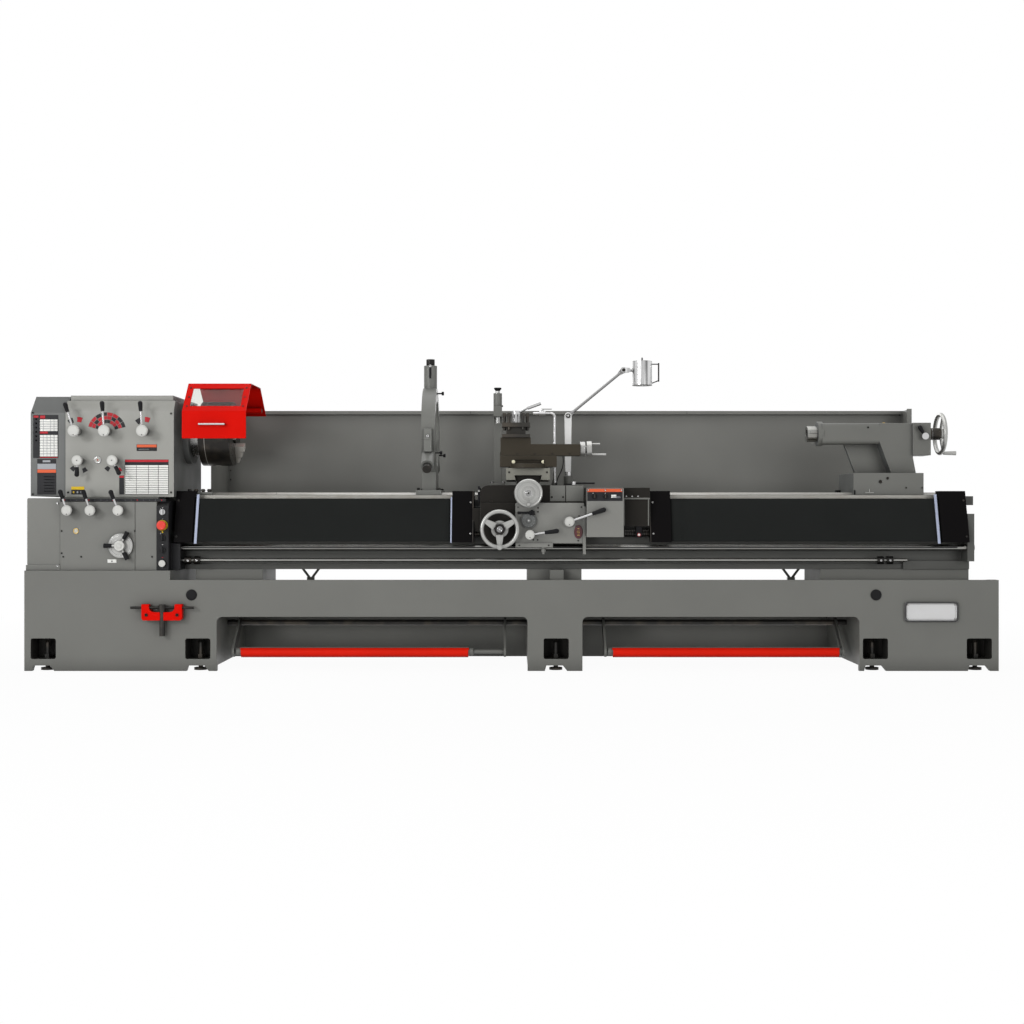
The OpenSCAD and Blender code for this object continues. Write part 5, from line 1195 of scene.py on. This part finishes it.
def apron_face(middle, normal):
    """Black end boxes, dark wing and motor, grey plate and switch box."""
    if middle.x < box_x[0] + 116 or middle.x > box_x[1] - 110.5:
        return 1
    if middle.x > switch_box_x1 + 0.5:
        return 2
    if middle.x < 19.5 or (middle.y > apron_front + 60 and middle.x < switch_box_x0):
        return 2
    in_dial = math.hypot(middle.x - dial_x, middle.z - dial_z) < dial_radius
    return 3 if in_dial and middle.y < apron_front - 1 else 0


finished_copy("apron", "apron_finished",
    [APRON_ENAMEL, COVER_BLACK, SADDLE_ENAMEL, DEEP_ENAMEL], apron_face, ease=0.0018)
apron_trim = turned_rings((dial_x, apron_front - 14, dial_z), (36, 14), 0.8, "y", DARK_STEEL)
apron_trim.append(disc((dial_x, apron_front - 14.5, dial_z), 5, 2, "y", BRIGHT_STEEL))
for number in range(12):
    angle = math.radians(30 * number)
    tick_x, tick_z = dial_x + 29 * math.cos(angle), dial_z + 29 * math.sin(angle)
    apron_trim.append(block((tick_x - 1.5, apron_front - 14.6, tick_z - 1.5), (tick_x + 1.5,
        apron_front - 13.5, tick_z + 1.5), INK_GREY, ease=0.0001))
apron_trim += [screw((x, apron_front - 0.6, z), 4, 3, "y", BLACK_OXIDE)
    for x, z in ((136, 832), (136, 812), (118, 800), (112, 668), (134, 668), (346, 790),
        (342, 664), (358, 836), (34, 836))]
apron_trim += [screw((x, apron_front - 10.6, 640), 4, 3, "y", BLACK_OXIDE) for x in (40, 190)]
oval = disc((oval_x, apron_front - 1.2, oval_z), 22, 5, "y", OIL_RED, ease=0.0012)
edit_all(oval)
bpy.ops.transform.resize(value=(1, 1, 1.6), center_override=(mm(oval_x), 0, mm(oval_z)))
bpy.ops.object.mode_set(mode="OBJECT")
apron_trim.append(oval)
apron_trim += turned_rings((oval_x, apron_front - 4, oval_z), (7, 3), 0.7, "y", BRASS)
apron_trim += fields(apron_front - 3.2, [
    (oval_x - 5, oval_x + 5, oval_z + 15, oval_z + 18, BRASS),
    (oval_x - 7, oval_x + 7, oval_z - 18, oval_z - 15, BRASS)], lift=0.6)
trim("apron_trim", apron_trim, "carriage")
star = [disc((star_x - 4, apron_front - 12, star_z), 6, 24, "y", BLACK_OXIDE),
    disc((star_x - 36, apron_front - 20, star_z - 1), 5.5, 62, "x", BLACK_PLASTIC),
    disc((star_x - 68, apron_front - 20, star_z - 1), 7, 12, "x", BLACK_PLASTIC, ease=0.002)]
for number in range(5):
    angle = math.radians(72 * number + 18)
    star.append(disc((star_x + 9 * math.cos(angle), apron_front - 26,
        star_z + 9 * math.sin(angle)), 6.5, 12, "y", BLACK_PLASTIC, ease=0.002, sides=20))
trim("thread_dial_lever", star, "carriage")
panel = fields(box_front, [
    (switch_box_x0 + 2, switch_box_x1 - 6, box_top - 66, box_top - 3, INK_BLACK),
    (switch_box_x0 + 3, switch_box_x1 - 7, box_top - 20, box_top - 4, INK_ORANGE),
    (switch_box_x0 + 124, switch_box_x0 + 150, box_top - 50, box_top - 34, INK_WHITE),
    (switch_box_x0 + 124, switch_box_x0 + 170, box_top - 44, box_top - 42, INK_GREY),
    (switch_box_x0 + 130, switch_box_x0 + 172, box_top - 50, box_top - 48, INK_GREY),
    (switch_box_x0 + 30, switch_box_x0 + 34, box_top - 28, box_top - 25, INK_WHITE),
    (switch_box_x0 + 92, switch_box_x0 + 96, box_top - 28, box_top - 25, INK_WHITE)])
for x in (switch_box_x0 + 40, switch_box_x0 + 95):
    panel.append(disc((x, box_front - 5, box_top - 42), 11, 10, "y", BLACK_PLASTIC, ease=0.0015))
    panel.append(block((x - 2.5, box_front - 13, box_top - 52), (x + 2.5, box_front - 8,
        box_top - 32), DARK_STEEL))
panel += [screw((x, box_front - 0.8, z), 3.5, 3, "y", CHROME)
    for x, z in ((switch_box_x0 + 8, box_top - 11), (switch_box_x0 + 94, box_top - 11),
        (switch_box_x1 - 12, box_top - 11))]
trim("switch_panel", panel, "carriage")
motor_x0, motor_x1 = switch_box_x1 + 2, box_x[1] - 110
motor_trim = [block((motor_x0, -413, 876), (motor_x1, -409, 884), GREY_ENAMEL),
    block((motor_x0 + 4, -411, 741), (motor_x0 + 10, -409, 876), GREY_ENAMEL),
    block((motor_x1 - 10, -411, 741), (motor_x1 - 4, -409, 876), GREY_ENAMEL)]
motor_trim.append(block((motor_x0, -413, 884.5), (motor_x1, -410, 936), SADDLE_ENAMEL))
motor_trim += [screw((motor_x0 + offset, -413, 892), 3.5, 3, "y", CHROME)
    for offset in (18, 48, 78)]
motor_trim += [block((640, -402, 680), (672, -368, 740), BLACK_PLASTIC, corner=4),
    disc((656, -408, 694), 9, 14, "y", INK_RED), disc((656, -415, 694), 6, 4, "y", INK_WHITE)]
trim("feed_motor_frame", motor_trim, "carriage")
lever_finish("feed_engage_lever", 25, 122, 0.6)
lever_finish("half_nut_lever", 24, 76, 0.6)


# Carriage handwheels. The apron wheel has a satin rim on three spokes and a black hub with a
# chrome cap. The cross feed wheel is a dished satin disc, turned in rings about its dial.
wheel_pivot = pivots["apron_handwheel"]
wheel_low = box_mm("apron_handwheel")[0]
wheel_front = wheel_pivot.y - 20


def wheel_face(middle, normal):
    """Satin rim, spokes and handle, and a black hub."""
    away = math.hypot(middle.x - wheel_pivot.x, middle.z - wheel_pivot.z)
    return 1 if away < 29 and middle.y < wheel_front + 45 else 0


finished_copy("apron_handwheel", "apron_wheel_finished",
    [SATIN, BLACK_OXIDE], wheel_face)
wheel_trim = turned_rings((wheel_pivot.x, wheel_front - 0.4, wheel_pivot.z), (25,), 1.4, "y",
    BLACK_OXIDE)
wheel_trim += turned_rings((wheel_pivot.x, wheel_front - 1, wheel_pivot.z), (13, 8), 1.6, "y",
    CHROME)
wheel_trim.append(disc((wheel_pivot.x, wheel_front - 2, wheel_pivot.z), 5, 5, "y", CHROME))
wheel_trim.append(disc((wheel_pivot.x, wheel_low.y + 62, wheel_pivot.z - 90), 14.5, 8,
    "y", SATIN, ease=0.002))
for angle in (-90, 30, 150):
    spoke = block((wheel_pivot.x + 26, wheel_pivot.y - 7, wheel_pivot.z - 17),
        (wheel_pivot.x + 84, wheel_pivot.y + 5, wheel_pivot.z + 17), SATIN, ease=0.004)
    for corner in spoke.data.vertices:
        along = (corner.co.x * 1000 - wheel_pivot.x - 26) / 58
        corner.co.z = mm(wheel_pivot.z) + (corner.co.z - mm(wheel_pivot.z)) * (1.25 - 0.55 * along)
    wheel_trim.append(swung(spoke, angle, "Y", wheel_pivot))
trim("apron_wheel_hub_and_spokes", wheel_trim, "apron_handwheel")
cross_pivot = pivots["cross_handwheel"]
cross_low = box_mm("cross_handwheel")[0]
cross_front = cross_low.y + 60
finished_copy("cross_handwheel", "cross_wheel_finished", [SATIN], ease=0.0015)
cross_trim = turned_rings((cross_pivot.x, cross_front + 4, cross_pivot.z), (56, 47), 0.8, "y",
    SATIN)
cross_trim += turned_rings((cross_pivot.x, cross_front + 1, cross_pivot.z), (34, 26), 1.3, "y",
    SATIN)
cross_trim += turned_rings((cross_pivot.x, cross_front - 0.5, cross_pivot.z), (16, 9), 1.5, "y",
    CHROME)
cross_trim.append(disc((cross_pivot.x, cross_front - 1, cross_pivot.z), 4, 3, "y", DARK_STEEL))
trim("cross_wheel_rings", cross_trim, "cross_handwheel")


# Cross slide, compound and toolpost. Oiled dark castings with ground tops and brass-coloured
# gib ends. The square toolpost holds tools under eight bolts, with a chrome clamping lever.
COMPOUND_ENAMEL = enamel("compound_enamel", (0.04, 0.034, 0.025), (0.16, 0.15, 0.13), 0.5, 0.38,
    0.08, 0.1)
SLIDE_ENAMEL = enamel("slide_enamel", (0.19, 0.187, 0.16), (0.28, 0.27, 0.24), 0.5, 0.38, 0.08, 0.3)
POST_STEEL = metal("toolpost_steel", (0.045, 0.043, 0.039), 0.36, (80, 80, 12), 0.2, 0.12, 0.9)
PALE_BRASS = metal("pale_brass", (0.78, 0.74, 0.55), 0.34, (40, 40, 40), 0.05, 0.05, 0.5)
cross_slide_low, cross_slide_high = box_mm("cross_slide")
slide_top = cross_slide_high.z
slide_front = cross_slide_low.y


def slide_face(middle, normal):
    """Grey sides, a ground top."""
    return 1 if middle.z > slide_top - 3 and normal.z > 0.5 else 0


finished_copy("cross_slide", "cross_slide_finished", [SLIDE_ENAMEL, GROUND_WAY],
    slide_face, ease=0.0018)
slide_trim = [screw((x, slide_front - 0.6, slide_top - 22), 5, 3, "y", BLACK_OXIDE)
    for x in (cross_slide_low.x + 16, cross_slide_high.x - 16)]
slide_trim += [screw((cross_slide_high.x + 0.6, y, slide_top - 22), 4, 3, "x", BLACK_OXIDE)
    for y in (-340, -240, -140, -40)]
trim("cross_slide_screws", slide_trim, "cross_slide")
finished_copy("compound_rest", "compound_finished",
    [COMPOUND_ENAMEL], ease=0.0018)
rest_low = box_mm("compound_rest")[0]
rest_front = rest_low.y + 49
slot_z = rest_low.z + 32
rest_trim = [disc((x, rest_front + 6, slot_z + 26), 9.5, 12, "y", PALE_BRASS, ease=0.0015)
    for x in (10, 164)]
rest_trim += turned_rings((86, -330, rest_low.z + 48), (103,), 0.9, "z", DARK_STEEL)
finished_copy("top_slide", "top_slide_finished",
    [COMPOUND_ENAMEL, POST_STEEL],
    lambda middle, normal: 1 if middle.z > 1196 else 0, ease=0.0018)
trim("compound_bolts", rest_trim, "compound_rest")
top_low = box_mm("top_slide")[0]
top_trim = [screw((x, top_low.y - 0.6, 1112), 4, 3, "y", BLACK_OXIDE)
    for x in (30, 120, 210, 300)]
trim("top_slide_screws", top_trim, "top_slide")
finished_copy("top_handwheel", "top_wheel_finished", [SATIN], ease=0.0015)
top_pivot = pivots["top_handwheel"]
trim("top_wheel_rings", turned_rings((top_pivot.x + 3, top_pivot.y, top_pivot.z),
    (38,), 1.2, "x", CHROME) + turned_rings((top_pivot.x + 20, top_pivot.y, top_pivot.z),
    (38,), 1.2, "x", CHROME), "top_handwheel")


def post_face(middle, normal):
    """Black oxide blocks, brighter bolt heads."""
    return 1 if middle.z > 1272.5 else 0


finished_copy("toolpost", "toolpost_finished", [POST_STEEL, DARK_STEEL],
    post_face)
finished_copy("toolpost_lever", "toolpost_lever_finished", [CHROME], ease=0.0015)


# Follow rest and coolant pipe. The rest is a grey cast arm with one bright finger under a black
# knob, bolted to the saddle. The chrome pipe swivels in a collar and ends in a ball valve.
finished_copy("follow_rest", "follow_rest_finished", [GREY_ENAMEL], ease=0.003)
finger_top = box_mm("follow_finger")[1].z
finished_copy("follow_finger", "follow_finger_finished",
    [BRIGHT_STEEL, BLACK_PLASTIC], lambda middle, normal: 1 if middle.z > finger_top - 24 else 0,
    ease=0.0015)
follow_low, follow_high = box_mm("follow_rest")
follow_x = (follow_low.x + follow_high.x) / 2
rest_bolts = [hex_bolt((x, y, saddle_top + 22), 15, 9, "z", BRIGHT_STEEL)
    for x in (follow_low.x + 9, follow_high.x - 9) for y in (2, 106)]
rest_bolts.append(screw((follow_x + 24, -80, 1380), 5, 10, "x", BLACK_OXIDE))
trim("follow_rest_bolts", rest_bolts, "carriage")
pipe_top = box_mm("coolant_pipe")[1].z
finished_copy("coolant_pipe", "coolant_pipe_finished", [CHROME, SATIN],
    lambda middle, normal: 1 if middle.z > pipe_top - 8 else 0, ease=0.0006)


# Lamp. A white arm and a bright one stand on a black cone. The aluminium shade holds a frosted
# bulb and has a wire handle, and a thin black cable hangs from the lower arm to the saddle.
WHITE_ENAMEL = enamel("white_enamel", (0.78, 0.78, 0.77), (0.8, 0.8, 0.8), 0.2, 0.3, 0.04)
# The shade's upright grey stain bands are painted reflections in its polished side.
SHADE_METAL = metal("shade_aluminium_painted_reflections", (0.72, 0.72, 0.72), 0.24, (200, 200, 6), 1.2, 0.04, 0.9,
    (75, 75, 2), (0.2, 0.2, 0.2))
ARM_TUBE = metal("arm_tube", (0.3, 0.3, 0.3), 0.26, (60, 60, 60), 0.1, 0.04, 0.9)
BULB = enamel("frosted_bulb", (0.85, 0.84, 0.8), (0.85, 0.85, 0.8), 0.0, 0.25, 0.0)
finished_copy("lamp_lower_arm", "lamp_lower_arm_finished",
    [WHITE_ENAMEL, CHROME], lambda middle, normal: 1 if middle.z < 1034 else 0)
finished_copy("lamp_upper_arm", "lamp_upper_arm_finished", [ARM_TUBE], ease=0.0008)
lamp_low, lamp_high = box_mm("lamp_head")
shade_x = lamp_high.x - 95
shade_z0 = lamp_low.z
tilt_pivot = pivots["lamp_head"]
elbow_pivot = pivots["lamp_upper_arm"]
base_pivot = pivots["lamp_lower_arm"]


def shade_face(middle, normal):
    """Bright outside, white inside, dark wire handle and switch."""
    away = math.hypot(middle.x - shade_x, middle.y - base_pivot.y)
    if middle.x > shade_x + 56.5 or middle.z > lamp_high.z - 19:
        return 2
    return 1 if away < 52.5 and middle.x > shade_x - 52.5 else 0


finished_copy("lamp_head", "lamp_shade_finished",
    [SHADE_METAL, WHITE_ENAMEL, BLACK_OXIDE], shade_face, ease=0.0008)
bpy.ops.mesh.primitive_uv_sphere_add(segments=28, ring_count=16, radius=mm(28),
    location=(mm(shade_x), mm(base_pivot.y), mm(shade_z0 + 44)))
bulb = bpy.context.object
bpy.ops.object.shade_smooth()
bulb.data.materials.append(BULB)
neck = disc((shade_x, base_pivot.y, shade_z0 + 90), 15, 84, "z", CHROME)
rim = turned_rings((shade_x, base_pivot.y, shade_z0 + 1.5), (54,), 1.4, "z", BLACK_OXIDE)
rim += turned_rings((shade_x, base_pivot.y, shade_z0 + 132), (54,), 1.2, "z", BLACK_OXIDE)
rim.append(disc((tilt_pivot.x, tilt_pivot.y - 17, tilt_pivot.z), 9, 3, "y", BLACK_OXIDE))
trim("lamp_bulb_and_rims", [bulb, neck] + rim, "lamp_head")
trim("lamp_elbow_knob", [disc((elbow_pivot.x, elbow_pivot.y - 15.5, elbow_pivot.z),
    12, 8, "y", BLACK_OXIDE, ease=0.002), disc((elbow_pivot.x, elbow_pivot.y - 19,
    elbow_pivot.z), 6, 4, "y", CHROME)], "lamp_upper_arm")
bpy.ops.mesh.primitive_cone_add(vertices=40, radius1=mm(27), radius2=mm(15), depth=mm(54),
    location=(mm(base_pivot.x), mm(base_pivot.y), mm(saddle_top + 30)))
cone = bpy.context.object
ease_edges(cone, 0.002, angle=40)
cone.data.materials.append(BLACK_PLASTIC)
trim("lamp_base_cone", [cone, disc((base_pivot.x, base_pivot.y, saddle_top + 5), 30,
    8, "z", BLACK_PLASTIC)], "carriage")
cable_radius = 3
cable_route = ((-12, 0, 214), (-21, -1, 213), (-28, -2, 204), (-30, -4, 190), (-29, -6, 174),
    (-27, -9, 156), (-26, -12, 138), (-28, -16, 118), (-33, -20, 98), (-41, -24, 80),
    (-50, -27, 63), (-58, -30, 46), (-63, -31, 30), (-66, -32, 16), (-66, -32, 4), (-66, -32, -6))
cable_curve = bpy.data.curves.new("lamp_cable", "CURVE")
cable_curve.dimensions = "3D"
cable_curve.bevel_depth = mm(cable_radius)
cable_curve.bevel_resolution = 4
cable_curve.resolution_u = 6
cable_line = cable_curve.splines.new("NURBS")
cable_line.points.add(len(cable_route) - 1)
for point, (x, y, z) in zip(cable_line.points, cable_route):
    point.co = (mm(base_pivot.x + x), mm(base_pivot.y + y), mm(saddle_top + z), 1)
cable_line.use_endpoint_u = True
cable_line.order_u = 4
cable = bpy.data.objects.new("lamp_cable", cable_curve)
bpy.context.scene.collection.objects.link(cable)
pick(cable)
bpy.ops.object.convert(target="MESH")
cable = bpy.context.object
bpy.ops.object.shade_smooth()
cable.data.materials.append(BLACK_PLASTIC)
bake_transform(cable)
fixed_to(disc((base_pivot.x - 66, base_pivot.y - 32, saddle_top + 6), 6, 13, "z", BLACK_PLASTIC,
    ease=0.002), "carriage").name = "cable_gland"
fixed_to(disc((base_pivot.x - 19, base_pivot.y, saddle_top + 214), 6, 8, "x", BLACK_PLASTIC,
    ease=0.002), "lamp_lower_arm").name = "cable_grommet"


# Steady rest. A grey cast ring stands on the bed and opens on a hinge at the rear. Three bright
# fingers slide in sleeves under black knurled knobs, with lock screws on the tailstock side.
STEADY_ENAMEL = enamel("steady_enamel", (0.145, 0.147, 0.136), (0.32, 0.32, 0.3), 0.5, 0.4,
    0.08, 0.35)
steady_low = box_mm("steady_base")[0]
steady_x = steady_low.x + 67


def away_from_axis(middle):
    """The distance of a point from the spindle's axis."""
    return math.hypot(middle.y - axis_y, middle.z - axis_z)


def steady_face(middle, normal):
    """Grey casting, black lock screws at its tailstock side."""
    in_sleeve = 205 < away_from_axis(middle) < 232
    return 1 if middle.x > steady_x + 36.5 and in_sleeve else 0


def finger_face(middle, normal):
    """Bright finger, black knob at its outer end."""
    return 1 if away_from_axis(middle) > 367.5 else 0


for half in ("base", "top"):
    finished_copy(f"steady_{half}", f"steady_{half}_finished",
        [STEADY_ENAMEL, BLACK_PLASTIC], steady_face, ease=0.0022)
for number in (1, 2, 3):
    finished_copy(f"steady_finger_{number}", f"steady_finger_{number}_finished",
        [BRIGHT_STEEL, BLACK_OXIDE], finger_face, ease=0.0018)
steady_trim = [hex_bolt((steady_x + side * 54, y, 932), 17, 12, "z", BLACK_OXIDE)
    for side in (-1, 1) for y in (-250, 80)]
trim("steady_foot_bolts", steady_trim, "steady_base")
steady_marks = [block((steady_x - 5, axis_y - 40.5, 1526), (steady_x + 5, axis_y - 34, 1584),
    BLACK_PLASTIC, ease=0.001), screw((steady_x, axis_y - 36, 1592), 7, 5, "y", CHROME)]
steady_marks += [screw((steady_x, -352, 1205), 7, 10, "y", CHROME)]
trim("steady_top_trim", steady_marks, "steady_top")


# Tailstock. A grey casting on a wide base, with a ground quill that has a keyway and a taper.
# It carries a satin handwheel, a quill lock with black levers, and clamp screws in its base.
tail_low = box_mm("tailstock")[0]
tail_front = tail_low.y


def tailstock_face(middle, normal):
    """Grey, with the deep grey enamel as painted shade on the faces towards the headstock."""
    return 1 if normal.x < -0.6 else 0


finished_copy("tailstock", "tailstock_finished", [GREY_ENAMEL, DEEP_ENAMEL],
    tailstock_face, ease=0.0025)
tail_trim = [screw((x, tail_front - 1, z), radius, 5, "y", BLACK_OXIDE)
    for x, z, radius in ((1935, 970, 9), (1973, 988, 7), (2070, 938, 4), (2154, 938, 4))]
tail_trim += [block((1796, -268, 902), (1804, -240, 926), BLACK_PLASTIC, ease=0.001),
    block((1772, 40, 902), (1794, 78, 930), BLACK_PLASTIC, ease=0.001),
    screw((1900, -143, 1262), 5, 4, "y", BLACK_OXIDE), disc((2000, axis_y, axis_z + 57), 8, 8,
    "z", BRASS)]
tail_trim += fields(tail_front, [(1856, 1900, 912, 914, INK_WHITE), (1877, 1879, 912, 930,
    INK_WHITE)], lift=0.3)
trim("tailstock_screws", tail_trim, "tailstock")
quill_low, quill_high = box_mm("quill")
finished_copy("quill", "quill_ground", [ROD_STEEL],
    ease=0.002)
quill_trim = [block((quill_low.x + 8, quill_low.y - 0.15, axis_z - 1),
    (quill_high.x - 8, quill_low.y + 2, axis_z + 1), INK_BLACK, ease=0.0002)]
for number in range(12):
    tick_x = quill_low.x + 14 + 12 * number
    quill_trim.append(block((tick_x, quill_low.y - 0.12, axis_z + 2), (tick_x + 0.8,
        quill_low.y + 1.6, axis_z + (12 if number % 5 == 0 else 7)), INK_BLACK,
        ease=0.0001))
trim("quill_scale", quill_trim, "quill")
tail_wheel = box_mm("tailstock_handwheel")


def tail_wheel_face(middle, normal):
    """Satin rim and spokes, dark hub and screw end."""
    return 1 if away_from_axis(middle) < 33 and middle.x < tail_wheel[1].x - 95 else 0


finished_copy("tailstock_handwheel", "tail_wheel_finished", [SATIN, DARK_STEEL],
    tail_wheel_face)
wheel_x = tail_wheel[1].x - 84
trim("tail_wheel_cap", [disc((wheel_x + 19, axis_y, axis_z), 15, 8, "x", CHROME,
    ease=0.002)] + turned_rings((tail_wheel[0].x + 74, axis_y, axis_z), (32,), 1, "x",
    CHROME), "tailstock_handwheel")
lock_pivot = pivots["quill_lock"]
ball_radius = 18.6


def quill_lock_face(middle, normal):
    """Bright ball hub, black lever."""
    away = math.hypot(middle.x - lock_pivot.x, middle.z - lock_pivot.z)
    return 1 if away > ball_radius else 0


finished_copy("quill_lock", "quill_lock_finished", [CHROME, BLACK_PLASTIC],
    quill_lock_face, ease=0.002)
